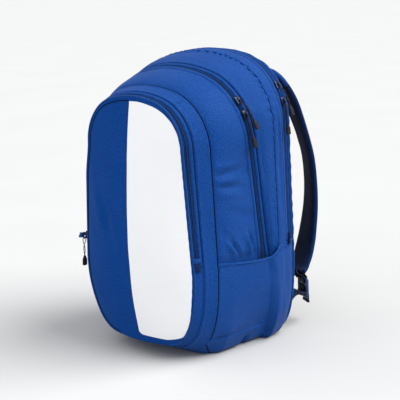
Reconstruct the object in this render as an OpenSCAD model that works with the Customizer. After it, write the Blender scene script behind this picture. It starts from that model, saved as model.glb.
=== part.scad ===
// Racket backpack: an arched soft pack with three zipped compartments,
// two side pockets, padded shoulder straps and a haul handle.
// Origin: middle of the base on the floor. +Z up, front towards -Y.

/* [Overall] */
// Height of the pack at its tallest seam
pack_h = 488; // [460:1:510]
// Width of the pack across its widest seam
pack_w = 318; // [300:1:330]
// Depth of the front pocket edge ahead of the origin
front_y = 123; // [119:1:125]
// Depth of the back panel behind the origin
back_y = 94; // [92:1:98]

/* [Shells] */
// Thickness of the padded gussets
wall_t = 4; // [3:0.5:5]
// Thickness of the front panel
panel_t = 3; // [2:0.5:3]
// How far the front panel bulges
panel_bulge = 22; // [15:1:23]
// Height at which the compartment fronts fold
fold_z = 172; // [171:1:174]
// Width of the fabric left of the outline beside the stripe
stripe_margin = 5; // [4:1:12]

/* [Side pockets] */
// How far the top of a side pocket stands open
pocket_room = 14; // [12:1:15]
// Height of the pocket edge at the front seam
pocket_h = 163; // [150:1:164]
// Dip of the pocket edge at its middle
pocket_dip = 10; // [4:1:14]

/* [Zips] */
// Width of one zip tape half
tape_w = 6.6; // [5:0.1:7]
// Half of the slit between the tape halves
slit = 0.7; // [0.7:0.1:0.9]
// Gap between a slider and the tape under it
slider_gap = 3; // [2.6:0.1:3.4]
// Diameter of the pull cords
cord_d = 2.6; // [2:0.1:3]

/* [Straps] */
// Width of a shoulder strap
strap_w = 68; // [56:1:72]
// Thickness of a shoulder strap
strap_t = 13; // [9:1:14]
// Width of the adjuster webbing
web_w = 25; // [20:1:26]

/* [Hidden] */
$fn = 48;
blue = [0.13, 0.28, 0.57];
navy = [0.08, 0.11, 0.2];
dark = [0.13, 0.14, 0.17];
pale = [0.94, 0.94, 0.96];

sx = pack_w/318;
sz = pack_h/488;
leg_z = 150*sz;    // height where the straight leg of every outline starts
corner_r = 78*sx;  // reach of the bottom corner at the front seams
corner_b = 48*sx;  // and behind them, where the base is boxier
gap = 0.3;         // room each side of the fold
zip_f = 5.5;       // place of the front zip behind the panel's edge

// Seam stations from front to back: half width at the leg's foot, half width at
// the shoulder, height, y at the floor, y at the top, height of the bottom, corner reach
F  = [123.6*sx, 109.9*sx, 428*sz, -front_y, -front_y, 23.6, corner_r];
FM = [139*sx, 132.6*sx, 441*sz, -84, -84, 6.6, corner_r];
M  = [146*sx, 150*sx, 467*sz, 44, -27, 6.6, corner_b];
MR = [159*sx, 157*sx, 486*sz, 50, 42, 6.6, corner_b];
R  = [155*sx, 150*sx, 488*sz, 79.5, 79.5, 6.6, corner_b];
B  = [150*sx, 146*sx, 484*sz, back_y, back_y, 6.6, corner_b];

function mix(a, b, t) = a + (b - a)*t;
function unit(v) = v/norm(v);
function yy(s, z) = s[3] + (s[4] - s[3])*z/(490*sz);
// A station moved in y beside the main zip or the rear zip
function near(c, a, b, dy, da, db) =
  let (q = dy < 0 ? mix(c, a, -dy/da) : mix(c, b, dy/db))
  [q[0], q[1], q[2], c[3] + dy, c[4] + dy, q[5], q[6]];
function nM(dy) = near(M, FM, MR, dy, 85, 60);
function nR(dy) = near(R, MR, B, dy, 34, 14.5);
function nF(dy) = mix(F, FM, dy/(front_y - 84));
// A station from the front seam to the main zip; the corner tightens in the first quarter
function fm(t) = let (q = mix(FM, M, t)) [q[0], q[1], q[2], q[3], q[4], q[5], mix(corner_r, corner_b, min(1, t/0.25))];

// Outline: three-centred arch on straight legs. Each point is [x, z, nx, nz].
SH = 8; CR = 3; LG = 3;
phi1 = atan2(sqrt(1 - 0.29*0.29), 0.29);
function z_sh(s) = s[2] - (1.71 - sqrt(1 - 0.29*0.29))*s[1];
function half_up(s, z0) =
  let (w0 = s[0], w1 = s[1], z1 = z_sh(s), d = unit([w1 - w0, z1 - leg_z]), r1 = 0.71*w1, r2 = 1.71*w1)
  concat(
    [for (k = [0:LG - 1]) let (z = mix(z0, z1, k/LG)) [mix(w0, w1, (z - leg_z)/(z1 - leg_z)), z, d[1], -d[0]]],
    [for (k = [0:SH]) let (a = phi1*k/SH) [w1 - r1 + r1*cos(a), z1 + r1*sin(a), cos(a), sin(a)]],
    [for (k = [1:CR]) let (a = mix(phi1, 90, k/CR)) [r2*cos(a), s[2] - r2 + r2*sin(a), cos(a), sin(a)]]);
function bez(a, b, c, d, t) = pow(1-t,3)*a + 3*pow(1-t,2)*t*b + 3*(1-t)*t*t*c + t*t*t*d;
function dbez(a, b, c, d, t) = 3*pow(1-t,2)*(b-a) + 6*(1-t)*t*(c-b) + 3*t*t*(d-c);
BT = 8;
function half_low(s, z0) =
  let (w0 = s[0], w1 = s[1], z1 = z_sh(s), zb = s[5], d = unit([w1 - w0, z1 - leg_z]),
       a = [w0 - s[6], zb], b = [w0 - 0.35*s[6], zb], c = [w0, zb + 0.3*(leg_z - zb)], e = [w0, leg_z])
  concat(
    [for (k = [0:2]) let (z = mix(z0, leg_z + 3, k/2)) [mix(w0, w1, (z - leg_z)/(z1 - leg_z)), z, d[1], -d[0]]],
    [for (k = [BT:-1:0]) let (p = bez(a,b,c,e,k/BT), t = unit(dbez(a,b,c,e,k/BT))) [p[0], p[1], t[1], -t[0]]],
    [[(w0 - s[6])/2, zb, 0, -1]]);
function flip(p) = [-p[0], p[1], -p[2], p[3]];
function arch(s, z0) = let (h = half_up(s, z0), n = len(h)) concat(h, [for (k = [n - 2:-1:0]) flip(h[k])]);
function trough(s, z0) = let (h = half_low(s, z0), n = len(h)) concat(h, [[0, s[5], 0, -1]], [for (k = [n - 1:-1:0]) flip(h[k])]);

// Closed slab between two grids of points
module slab(go, gi, turn = false) {
  n = len(go); m = len(go[0]); o = n*m;
  function q(a, b, c, d) = turn ? [[a, b, c], [a, c, d]] : [[a, c, b], [a, d, c]];
  fs = concat(
    [for (i = [0:n-2], j = [0:m-2]) each q(i*m+j, i*m+j+1, (i+1)*m+j+1, (i+1)*m+j)],
    [for (i = [0:n-2], j = [0:m-2]) each q(o+i*m+j, o+(i+1)*m+j, o+(i+1)*m+j+1, o+i*m+j+1)],
    [for (i = [0:n-2]) each q(i*m, (i+1)*m, o+(i+1)*m, o+i*m)],
    [for (i = [0:n-2]) each q(i*m+m-1, o+i*m+m-1, o+(i+1)*m+m-1, (i+1)*m+m-1)],
    [for (j = [0:m-2]) each q(j, o+j, o+j+1, j+1)],
    [for (j = [0:m-2]) let (a = (n-1)*m) each q(a+j, a+j+1, o+a+j+1, o+a+j)]);
  polyhedron(points = concat([for (r = go) each r], [for (r = gi) each r]), faces = fs, convexity = 6);
}
// Strip of shell through a list of stations, off = distance of its outer face inside the outline
function strip_grid(ss, z0, off) =
  let (o = [for (s = ss) arch(s, z0)])
  [for (i = [0:len(o[0])-1]) [for (j = [0:len(ss)-1]) let (p = o[j][i]) [p[0] - off*p[2], yy(ss[j], p[1]), p[1] - off*p[3]]]];
module strip(ss, t = wall_t, off = 0, z0 = fold_z + gap) slab(strip_grid(ss, z0, off), strip_grid(ss, z0, off + t));
function clamp01(t) = max(0, min(1, t));
// Depth of a lower wall behind the side pocket
function behind(k, z) = z > fold_z - 5 ? 0 : 3.3;
function low_grid(ss, ks, z0, off) =
  let (o = [for (s = ss) trough(s, z0)])
  [for (i = [0:len(o[0])-1]) [for (j = [0:len(ss)-1])
    let (p = o[j][i], d = off + (ks[j] < 0 ? 0 : behind(ks[j], p[1])))
    [p[0] - d*p[2], yy(ss[j], p[1]), p[1] - (p[1] < s_flat(ss[j]) ? off : d)*p[3]]]];
function s_flat(s) = s[5] + 0.01;
module low_strip(ss, ks, t = wall_t) slab(low_grid(ss, ks, fold_z - gap, 0), low_grid(ss, ks, fold_z - gap, t), true);

// Front panel
function bulge(z) = panel_bulge*(z > 165*sz ? 1 - pow((z/sz - 165)/266, 2) : 1 - pow((165 - z/sz)/185, 2));
function px(p, f) = f <= 0 ? f*p[0] : f <= 1 ? f*max(p[0] - stripe_margin, 4) : mix(max(p[0] - stripe_margin, 4), p[0], f - 1);
function panel_pt(p, f, t) = let (x = px(p, f)) [x, -front_y - bulge(p[1])*(1 - pow(abs(x)/p[0], 3)) + t, p[1]];
module panel(rows, fa, fb, n, turn) slab(
  [for (p = rows) [for (j = [0:n]) panel_pt(p, mix(fa, fb, j/n), 0)]],
  [for (p = rows) [for (j = [0:n]) panel_pt(p, mix(fa, fb, j/n), panel_t)]], turn);
rows_up = let (h = half_up(F, fold_z + gap)) [for (k = [0:len(h)-2]) h[k]];
rows_low = let (h = half_low(F, fold_z - gap)) [for (k = [0:len(h)-2]) h[k]];

// Flat divider inside an outline
module plate(pts, y, t) translate([0, y + t, 0]) rotate([90, 0, 0]) linear_extrude(t) polygon(pts);
function inset_arch(s, z0, d) = [for (p = arch(s, z0)) [p[0] - d*p[2], p[1] == z0 ? z0 : p[1] - d*p[3]]];
function inset_trough(s, z0, d, e) = [for (p = trough(s, z0)) [p[0] - d*p[2], p[1] == z0 ? z0 : p[1] - (p[1] < s_flat(s) ? e : d)*p[3]]];

module base_panel() color(blue) {
  r = 40;
  linear_extrude(6.2) polygon([for (q = [[1,1],[-1,1],[-1,-1],[1,-1]], a = [0:15:90])
    let (b = a + (q[0] > 0 ? (q[1] > 0 ? 0 : 270) : (q[1] > 0 ? 90 : 180)))
    [q[0]*(116*sx - r) + r*cos(b), 4 + q[1]*(84 - r) + r*sin(b)]]);
}
module base_board() color(dark) translate([-59*sx, -78, FM[5] + wall_t + 0.3]) cube([118*sx, 118, 2]);

module front_panel_lower() color(blue) { panel(rows_low, -1, -0.002, 6, true); panel(rows_low, 1.02, 2, 2, true); }
module front_stripe_lower() color(pale) panel(rows_low, 0.002, 0.998, 6, true);
module front_panel() color(blue) { panel(rows_up, -1, -0.002, 6, false); panel(rows_up, 1.02, 2, 2, false); }
module front_stripe() color(pale) panel(rows_up, 0.002, 0.998, 6, false);

module pocket_wall_lower() color(blue) low_strip([nF(panel_t + 0.3), nF(16), mix(F, FM, 0.995)], [-1, -1, -1]);
module main_wall_lower() color(blue) low_strip([fm(0.002), fm(0.25), fm(0.5), M, mix(M, MR, 0.98)], [0, 0, 0, 0, 0]);
module rear_wall_lower() color(blue) low_strip([mix(M, MR, 0.985), mix(MR, R, 0.5), nR(-0.4)], [0, 0, 0]);
module rear_gusset_lower() color(blue) low_strip([nR(0.4), nR(7), B], [0, 0, 0]);
module divider_front_lower() color(navy) plate(inset_trough(FM, fold_z - gap, wall_t + 4, wall_t + 0.5), FM[3] + 1, 2);

// Side pockets: a panel on the outline over the inset lower walls
pk = [0, 0.0722, 0.11, 0.22, 0.33, 0.44, 0.55, 0.66, 0.78, 0.89, 1];
function pk_sta(k) = k < 0.33 ? fm(0.04 + k/0.33*0.96) : k < 0.66 ? mix(M, MR, (k - 0.33)/0.33) : mix(MR, R, (k - 0.66)/0.34*0.97);
function pk_top(k) = pocket_h - pocket_dip*sin(180*min(1, k/0.62)) + 1*k;
function pk_pts(s, zt) = let (h = half_low(s, zt)) [for (k = [0:9]) h[k]];
function gape(k, z) = pocket_room*sin(180*min(1, k/0.62))*clamp01((z - 40)/110);
function pk_grid(off, drop) = [for (k = pk) let (s = pk_sta(k), h = pk_pts(s, pk_top(k) - drop))
  [for (p = h) let (d = off - gape(k, p[1])) [p[0] - d*p[2], yy(s, p[1]), p[1] - d*p[3]]]];
module side_pocket() slab(pk_grid(0, 5), pk_grid(2.5, 5), true);
function bd_grid(off) = [for (k = pk) let (s = pk_sta(k), z1 = z_sh(s), zt = pk_top(k))
  [for (z = [zt - 4.9, zt]) [mix(s[0], s[1], (z - leg_z)/(z1 - leg_z)) - off + gape(k, z), yy(s, z), z]]];
module pocket_binding() slab(bd_grid(-0.8), bd_grid(2.6), false);
module side_pocket_right() color(blue) side_pocket();
module side_pocket_left() color(blue) mirror([1, 0, 0]) side_pocket();
module pocket_binding_right() color(navy) pocket_binding();
module pocket_binding_left() color(navy) mirror([1, 0, 0]) pocket_binding();

module pocket_gusset() color(blue) strip([nF(zip_f + slit + tape_w + 0.2), nF(25), mix(F, FM, 0.995)]);
module front_gusset() color(blue) strip([mix(FM, M, 0.003), mix(FM, M, 0.33), mix(FM, M, 0.66), nM(-slit - tape_w - 0.2)]);
module mid_gusset() color(blue) strip([nM(slit + tape_w + 0.2), mix(M, MR, 0.55), MR, mix(MR, R, 0.4), nR(-slit - tape_w - 0.2)]);
module rear_gusset() color(blue) strip([nR(slit + tape_w + 0.2), B]);
module zip_front_front_tape() color(navy) strip([nF(panel_t + 0.3), nF(zip_f - slit)], 2);
module zip_front_rear_tape() color(navy) strip([nF(zip_f + slit), nF(zip_f + slit + tape_w)], 2);
module zip_main_front_tape() color(navy) strip([nM(-slit - tape_w), nM(-slit)], 2, 0, fold_z + 10);
module zip_main_rear_tape() color(navy) strip([nM(slit), nM(slit + tape_w)], 2);
module zip_rear_front_tape() color(navy) strip([nR(-slit - tape_w), nR(-slit)], 2);
module zip_rear_back_tape() color(navy) strip([nR(slit), nR(slit + tape_w)], 2);
module piping_front() color(navy) strip([nF(front_y - 84 - 3), FM, mix(FM, M, 0.02)], 2, -2.6);
module piping_mid() color(navy) strip([mix(M, MR, 0.96), MR, mix(MR, R, 0.06)], 2, -2.6);
module divider_front() color(navy) plate(inset_arch(FM, fold_z + gap, wall_t + 0.5), FM[3] + 1, 2);

// Back panel: a padded sheet over a stiffener, with two pads
function ring_in(s, d, low) = concat(inset_arch(s, fold_z, d), [for (p = trough(low, fold_z), e = [0]) if (p[1] < fold_z - 1) [-p[0] + (d + 3.9)*p[2], p[1] - (p[1] < s_flat(s) ? d : d + 3.9)*p[3]]]);
module divider_rear() color(navy) plate(ring_in(MR, wall_t + 2.4, mix(M, MR, 0.08)), 44.5, 2);
module back_panel() color(navy) plate(ring_in(B, wall_t + 0.4, B), back_y - 4, 4);
module back_stiffener() color(dark) plate(ring_in(B, wall_t + 10, B), back_y - 6.3, 2);
module back_pad() translate([0, back_y + 0.2, 0]) rotate([-90, 0, 0]) linear_extrude(12)
  polygon([for (q = [[78, -400], [34, -400], [34, -110], [94, -110]]) [q[0]*sx, q[1]*sz]]);
module back_pad_right() color(navy) back_pad();
module back_pad_left() color(navy) mirror([1, 0, 0]) back_pad();

// Shoulder strap: [x, y, z, turn of its width, width]
route = [[72, 97, 452, 0, 50], [73, 120, 447, -8, 56], [76, 150, 428, -20, 62], [80, 182, 392, -31, 68],
  [84, 206, 345, -37, 68], [86, 226, 290, -39, 68], [87, 232, 240, -39, 68], [88, 229, 195, -37, 66],
  [90, 216, 150, -33, 62], [95, 197, 117, -27, 52], [101, 177, 96, -21, 40], [107, 160, 86, -16, 30]];
function rt(i) = let (a = route[max(0, i - 1)], b = route[min(len(route) - 1, i + 1)]) unit([b[0]-a[0], b[1]-a[1], b[2]-a[2]]);
function strap_pt(i, f, s) =
  let (r = route[i], t = rt(i), w0 = [cos(r[3]), sin(r[3]), 0], w = unit(w0 - (w0*t)*t), n = cross(t, w),
       e = sqrt(max(0.12, 1 - pow(abs(f), 4))))
  [r[0], r[1], r[2]] + w*f*r[4]*strap_w/68/2 + n*s*strap_t/2*e;
function strap_grid(s) = [for (i = [0:len(route)-1]) [for (f = [-1, -0.85, -0.5, 0, 0.5, 0.85, 1]) strap_pt(i, f, s)]];
module strap() slab(strap_grid(1), strap_grid(-1), true);
module strap_right() color(navy) strap();
module strap_left() color(navy) mirror([1, 0, 0]) strap();

// Ladder lock in its own frame: bars along x, front face towards +y
lock_at = [117, 164, 64];
module ladder_lock() translate(lock_at) rotate([0, 0, -30]) {
  for (x = [-19, 16]) translate([x, -2.5, -17]) cube([3, 5, 34]);
  for (z = [-16, 0, 16]) translate([-17, 0, z]) rotate([0, 90, 0]) cylinder(d = 4, h = 34);
}
module ladder_lock_right() color(blue) ladder_lock();
module ladder_lock_left() color(blue) mirror([1, 0, 0]) ladder_lock();

// Webbing: slab of width web_w along hand-set points [x, y, z, turn]
function web_pt(r, f, s) = [r[0] + f*web_w/2*cos(r[3]) + s*0.8*sin(r[3])*cos(r[4]), r[1] + f*web_w/2*sin(r[3]) - s*0.8*cos(r[3])*cos(r[4]), r[2] + s*0.8*sin(r[4])];
module web(pts) slab([for (r = pts) [for (f = [-1, 0, 1]) web_pt(r, f, 1)]], [for (r = pts) [for (f = [-1, 0, 1]) web_pt(r, f, -1)]], true);
module adjuster() web([[127.2, 140.6, 58, -30, 80], [120.8, 152.4, 57.5, -30, 80], [116.6, 160.1, 57, -30, 80]]);
module adjuster_webbing_right() color(navy) adjuster();
module adjuster_webbing_left() color(navy) mirror([1, 0, 0]) adjuster();
module tail() web([[118.8, 167.4, 56, -30, 30], [118.8, 167.7, 50, -30, 0], [118.4, 167, 42, -30, -6], [117.6, 165.6, 35, -30, -14]]);
module webbing_tail_right() color(navy) tail();
module webbing_tail_left() color(navy) mirror([1, 0, 0]) tail();
// Fabric wing: upright at the seam, turning flat at its tip. Rows are its two edges and half its thickness.
wing = [[[126, 94.3, 40], [140, 94.3, 82], [-1.3, 0, 0.4]], [[128, 108, 45], [140, 108, 77], [-1.2, 0.1, 0.5]],
  [[124, 124, 52], [140, 122, 69], [-0.8, 0.2, 1]], [[116.2, 145.6, 58], [137.8, 133.1, 58], [0.2, 0.4, 1.2]]];
module anchor() slab(
  [for (r = wing) [for (f = [0, 0.5, 1]) mix(r[0], r[1], f) + r[2]]],
  [for (r = wing) [for (f = [0, 0.5, 1]) mix(r[0], r[1], f) - r[2]]], false);
module strap_anchors() color(blue) { anchor(); mirror([1, 0, 0]) anchor(); }

// Fabric tabs that close the zip ends
function leg_x(s, z) = mix(s[0], s[1], (z - leg_z)/(z_sh(s) - leg_z));
module end_tab(ss, z0, z1) for (m = [0, 1]) mirror([m, 0, 0]) slab(
  [for (z = [z0, z1]) [for (s = ss) [leg_x(s, z) + 2.8, yy(s, z), z]]],
  [for (z = [z0, z1]) [for (s = ss) [leg_x(s, z) + 0.6, yy(s, z), z]]]);
module zip_end_tabs() color(navy) { end_tab([nF(0.5), nF(11.5)], fold_z - 16, fold_z - 1); end_tab([nR(-6.5), nR(-3.5), nR(-0.6)], fold_z - 6, fold_z - 1); }

module handle_patch() color(navy) translate([-38, back_y + 0.2, 446]) cube([76, 2, 22]);
module haul_handle() color(navy) translate([0, back_y + 22.6, 0]) rotate([90, 0, 0]) linear_extrude(20) difference() {
  union() { translate([-38, 428]) square([76, 34]); translate([-24, 414]) square([48, 30]); for (x = [-24, 24]) translate([x, 428]) circle(14); }
  union() { translate([-34, 428]) square([68, 40]); translate([-24, 418]) square([48, 30]); for (x = [-24, 24]) translate([x, 428]) circle(10); }
}

// Zip sliders. Local frame: x outward, y across the zip, z up along it.
module slider(turn = 0) {
  g = slider_gap;
  rotate([0, 0, turn]) {
    translate([g, -5, -7]) cube([1.6, 10, 14]);
    translate([-5.6, -5, -7]) cube([1.4, 10, 14]);
  }
  translate([-5, -0.4, 2.5]) cube([g + 5.4, 0.8, 3.5]);
  translate([g + 1.4, 0, 0]) rotate([90, 0, 0]) rotate([0, 0, -90]) rotate_extrude(angle = 180) translate([3.4, 0]) circle(0.9, $fn = 24);
}
// Place on the arc of the main or rear zip at an angle above the shoulder, or on the left leg of the front zip
module on_arc(s, a, tilt) {
  r1 = 0.71*s[1]; z = z_sh(s) + r1*sin(a);
  translate([s[1] - r1 + r1*cos(a), yy(s, z), z]) rotate([tilt, 0, 0]) rotate([0, -a, 0]) children();
}
tilt_m = atan2(M[3] - M[4], 490*sz);
sf = nF(zip_f);
module on_leg(z) translate([-mix(sf[0], sf[1], (z - leg_z)/(z_sh(sf) - leg_z)), sf[3], z]) rotate([0, atan2(sf[0] - sf[1], z_sh(sf) - leg_z), 0]) mirror([1, 0, 0]) children();
a_mu = 34; a_ml = 21; a_ru = 30; a_rl = 15;
module slider_front() color(dark) on_leg(184) slider(-24);
module slider_main_upper() color(dark) on_arc(M, a_mu, tilt_m) slider();
module slider_main_lower() color(dark) on_arc(M, a_ml, tilt_m) slider();
module slider_rear_upper() color(dark) on_arc(R, a_ru, 0) slider();
module slider_rear_lower() color(dark) on_arc(R, a_rl, 0) slider();

// Pull cords: tubes through the crown of a slider, in its frame
hang_l = [[6.2, 0, -5], [6.4, 0, -9], [6, 0, -14], [5, 0, -20], [3.8, 0, -27], [2.6, 0, -34], [1.9, 0, -38]];
hang_u = [[6.2, 0.5, -5], [6.6, 3, -9], [6.3, 6, -14], [5.2, 8.6, -20], [3.9, 10, -27], [2.6, 10.4, -34], [1.9, 10.4, -38]];
hang_f = [[13, 0, -9.6], [13.7, 0, -15], [14, 0, -22], [13.4, 0, -31], [13.1, 0, -40.4]];
function tube_ring(ps, i) = let (a = ps[max(0, i-1)], b = ps[min(len(ps)-1, i+1)], t = unit(b - a), u = [0, 1, 0], v = cross(t, u))
  [for (k = [0:7]) ps[i] + cord_d/2*(u*cos(45*k) + v*sin(45*k))];
module tube(ps) {
  n = len(ps);
  polyhedron(points = [for (i = [0:n-1]) each tube_ring(ps, i)],
    faces = concat([for (i = [0:n-2], k = [0:7]) each [[i*8+k, i*8+(k+1)%8, (i+1)*8+(k+1)%8], [i*8+k, (i+1)*8+(k+1)%8, (i+1)*8+k]]],
      [[for (k = [7:-1:0]) k]], [[for (k = [0:7]) (n-1)*8+k]]), convexity = 4);
}
module cord_front() color(dark) on_leg(184) tube(hang_f);
module cord_main_upper() color(dark) on_arc(M, a_mu, tilt_m) tube(hang_u);
module cord_main_lower() color(dark) on_arc(M, a_ml, tilt_m) tube(hang_l);
module cord_rear_upper() color(dark) on_arc(R, a_ru, 0) tube(hang_u);
module cord_rear_lower() color(dark) on_arc(R, a_rl, 0) tube(hang_l);
// Moulded ends
module moulded_end(p) translate(p) rotate([0, 10, 0]) hull() { translate([-1.8, -2.4, -3]) cube([3.6, 4.8, 3]); translate([-2.2, -4, -16]) cube([4.4, 8, 9]); }
module pull_end_front() color(dark) on_leg(184) {
  translate([13, 0, -40.5]) rotate([0, -10, 0]) moulded_end([0, 0, 0]);
  translate([6.2, 0, -1]) rotate([0, 14, 0]) translate([3.6, -4, -1.4]) cube([17, 8, 2.8]);
  translate([13, 0, -7]) rotate([90, 0, 0]) cylinder(d = 5, h = 5, center = true);
}
module pull_end_main_upper() color(dark) on_arc(M, a_mu, tilt_m) moulded_end([1.9, 10.4, -38.1]);
module pull_end_main_lower() color(dark) on_arc(M, a_ml, tilt_m) moulded_end([1.9, 0, -38.1]);
module pull_end_rear_upper() color(dark) on_arc(R, a_ru, 0) moulded_end([1.9, 10.4, -38.1]);
module pull_end_rear_lower() color(dark) on_arc(R, a_rl, 0) moulded_end([1.9, 0, -38.1]);

base_panel();
base_board();
front_panel_lower();
front_stripe_lower();
pocket_wall_lower();
main_wall_lower();
rear_wall_lower();
divider_front_lower();
rear_gusset_lower();
side_pocket_right();
side_pocket_left();
pocket_binding_right();
pocket_binding_left();
rear_gusset();
zip_rear_back_tape();
back_panel();
back_stiffener();
back_pad_left();
back_pad_right();
strap_anchors();
adjuster_webbing_right();
adjuster_webbing_left();
zip_end_tabs();
handle_patch();
mid_gusset();
divider_rear();
zip_main_rear_tape();
zip_rear_front_tape();
piping_mid();
front_gusset();
pocket_gusset();
divider_front();
zip_main_front_tape();
zip_front_rear_tape();
piping_front();
front_panel();
front_stripe();
zip_front_front_tape();
strap_right();
strap_left();
ladder_lock_right();
ladder_lock_left();
webbing_tail_right();
webbing_tail_left();
haul_handle();
slider_front();
slider_main_upper();
slider_main_lower();
slider_rear_upper();
slider_rear_lower();
cord_front();
cord_main_upper();
cord_main_lower();
cord_rear_upper();
cord_rear_lower();
pull_end_front();
pull_end_main_upper();
pull_end_main_lower();
pull_end_rear_upper();
pull_end_rear_lower();
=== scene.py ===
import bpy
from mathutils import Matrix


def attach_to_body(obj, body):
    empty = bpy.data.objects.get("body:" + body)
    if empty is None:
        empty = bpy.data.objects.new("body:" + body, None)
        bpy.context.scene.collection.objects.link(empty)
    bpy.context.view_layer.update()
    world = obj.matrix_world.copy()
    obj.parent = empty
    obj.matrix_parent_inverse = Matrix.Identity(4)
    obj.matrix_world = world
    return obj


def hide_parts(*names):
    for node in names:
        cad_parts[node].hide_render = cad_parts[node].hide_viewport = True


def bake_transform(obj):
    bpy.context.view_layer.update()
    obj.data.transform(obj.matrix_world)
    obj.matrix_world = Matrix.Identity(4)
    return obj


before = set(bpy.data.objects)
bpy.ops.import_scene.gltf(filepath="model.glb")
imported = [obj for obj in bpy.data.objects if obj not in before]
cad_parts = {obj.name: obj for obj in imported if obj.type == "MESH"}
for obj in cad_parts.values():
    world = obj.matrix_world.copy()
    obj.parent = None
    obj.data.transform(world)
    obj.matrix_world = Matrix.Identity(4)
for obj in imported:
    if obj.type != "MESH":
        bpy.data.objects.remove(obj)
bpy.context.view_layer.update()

import math

import bpy
import numpy as np
from mathutils import Matrix, Vector

# ------------------------------------------------------------------ camera
scene = bpy.context.scene
cam_data = bpy.data.cameras.new("camera")
cam = bpy.data.objects.new("camera", cam_data)
scene.collection.objects.link(cam)
scene.camera = cam
AZ, EL, ROLL, DIST = math.radians(43.41), math.radians(11.61), math.radians(2.58), 1.8914
vb = Vector((math.sin(AZ) * math.cos(EL), -math.cos(AZ) * math.cos(EL), math.sin(EL)))
vr = Vector((math.cos(AZ), math.sin(AZ), 0))
vu = vb.cross(vr)
cx_, cy_ = vr * math.cos(ROLL) - vu * math.sin(ROLL), vr * math.sin(ROLL) + vu * math.cos(ROLL)
m3 = Matrix((cx_, cy_, vb)).transposed()
cam.matrix_world = Matrix.Translation(Vector((0, 0, 0.245)) + vb * DIST) @ m3.to_4x4()
cam_data.sensor_width = 36.0
cam_data.lens = 1110.74 / 400 * 36
cam_data.shift_x = (200 - 187.29) / 400
cam_data.shift_y = (195.11 - 200) / 400
cam_data.clip_end = 200

# ------------------------------------------------------------------ outlines, in millimetres
# seam stations, front to back: half width at the leg's foot, half width at the shoulder,
# height, y at the floor, y at the top, height of the bottom, reach of the bottom corner
F = np.array([123.6, 109.9, 428, -123, -123, 23.6, 78])
FM = np.array([139, 132.6, 441, -84, -84, 6.6, 78])
M = np.array([146, 150, 467, 44, -27, 6.6, 48])
MR = np.array([159, 157, 486, 50, 42, 6.6, 48])
R = np.array([155, 150, 488, 79.5, 79.5, 6.6, 48])
B = np.array([150, 146, 484, 94, 94, 6.6, 48])
C29 = math.sqrt(1 - 0.29 ** 2)
PHI = math.atan2(C29, 0.29)


def mix(a, b, t):
    return a + (b - a) * t


def step(a, b, x):
    t = np.clip((np.asarray(x, float) - a) / (b - a), 0, 1)
    return t * t * (3 - 2 * t)


def near(c, a, b, dy, da, db):
    q = mix(c, a, -dy / da) if dy < 0 else mix(c, b, dy / db)
    return np.array([q[0], q[1], q[2], c[3] + dy, c[4] + dy, q[5], q[6]])


def nM(dy):
    return near(M, FM, MR, dy, 85, 60)


def nR(dy):
    return near(R, MR, B, dy, 34, 14.5)


def nF(dy):
    return mix(F, FM, dy / 39)


def fm(t):
    """From the front seam to the main zip; the bottom corner tightens in the first quarter."""
    q = mix(FM, M, t)
    q[6] = mix(78, 48, min(1.0, t / 0.25))
    return q


def zsh(s):
    return s[2] - (1.71 - C29) * s[1]


def yy(s, z):
    return s[3] + (s[4] - s[3]) * z / 490


def outline(s, rows):
    """x, z and outward normal of a seam outline at each row."""
    w0, w1, h, zb = s[0], s[1], s[2], s[5]
    zs, r1, r2 = zsh(s), 0.71 * w1, 1.71 * w1
    d = np.array([w1 - w0, zs - 150.0])
    d /= np.linalg.norm(d)
    a, b, c, e = (np.array(p, float) for p in ((w0 - s[6], zb), (w0 - 0.35 * s[6], zb), (w0, zb + 0.3 * (150 - zb)), (w0, 150)))
    out = np.empty((len(rows), 4))
    for i, (seg, t, side, z0) in enumerate(rows):
        if seg == 0:
            p = ((w0 - s[6]) * t, zb, 0, -1)
        elif seg == 1:
            q = (1 - t) ** 3 * a + 3 * (1 - t) ** 2 * t * b + 3 * (1 - t) * t * t * c + t ** 3 * e
            g = 3 * (1 - t) ** 2 * (b - a) + 6 * (1 - t) * t * (c - b) + 3 * t * t * (e - c)
            g /= np.linalg.norm(g)
            p = (q[0], q[1], g[1], -g[0])
        elif seg == 2:
            z = mix(z0, zs, t)
            p = (mix(w0, w1, (z - 150) / (zs - 150)), z, d[1], -d[0])
        elif seg == 5:
            p = (mix(w0, w1, (t - 150) / (zs - 150)), t, d[1], -d[0])
        elif seg == 3:
            p = (w1 - r1 + r1 * math.cos(PHI * t), zs + r1 * math.sin(PHI * t), math.cos(PHI * t), math.sin(PHI * t))
        else:
            g = mix(PHI, math.pi / 2, t)
            p = (r2 * math.cos(g), h - r2 + r2 * math.sin(g), math.cos(g), math.sin(g))
        out[i] = (p[0] * side, p[1], p[2] * side, p[3])
    return out


def half_rows(z0=None, nb=12, nc=34, nl=70, ns=46, nk=22):
    r = []
    if z0 is None:
        r += [(0, k / nb, 1, 0) for k in range(nb)] + [(1, k / nc, 1, 0) for k in range(nc)]
    r += [(2, k / nl, 1, 150 if z0 is None else z0) for k in range(nl)]
    r += [(3, k / ns, 1, 0) for k in range(ns)] + [(4, k / nk, 1, 0) for k in range(nk + 1)]
    return r


def flip(r):
    return [(a, b, -c, d) for a, b, c, d in r]


def full_rows(**k):
    h = half_rows(**k)
    return h + flip(h[-2:0:-1])


def arch_rows(z0, **k):
    h = half_rows(z0, **k)
    return h + flip(h[-2::-1])


def low_rows(z1, nb=12, nc=34, nl=6):
    h = [(0, k / nb, 1, 0) for k in range(nb)] + [(1, k / nc, 1, 0) for k in range(nc)] + [(5, mix(150, z1, k / nl), 1, 0) for k in range(nl + 1)]
    return flip(h[:0:-1]) + h


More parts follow.
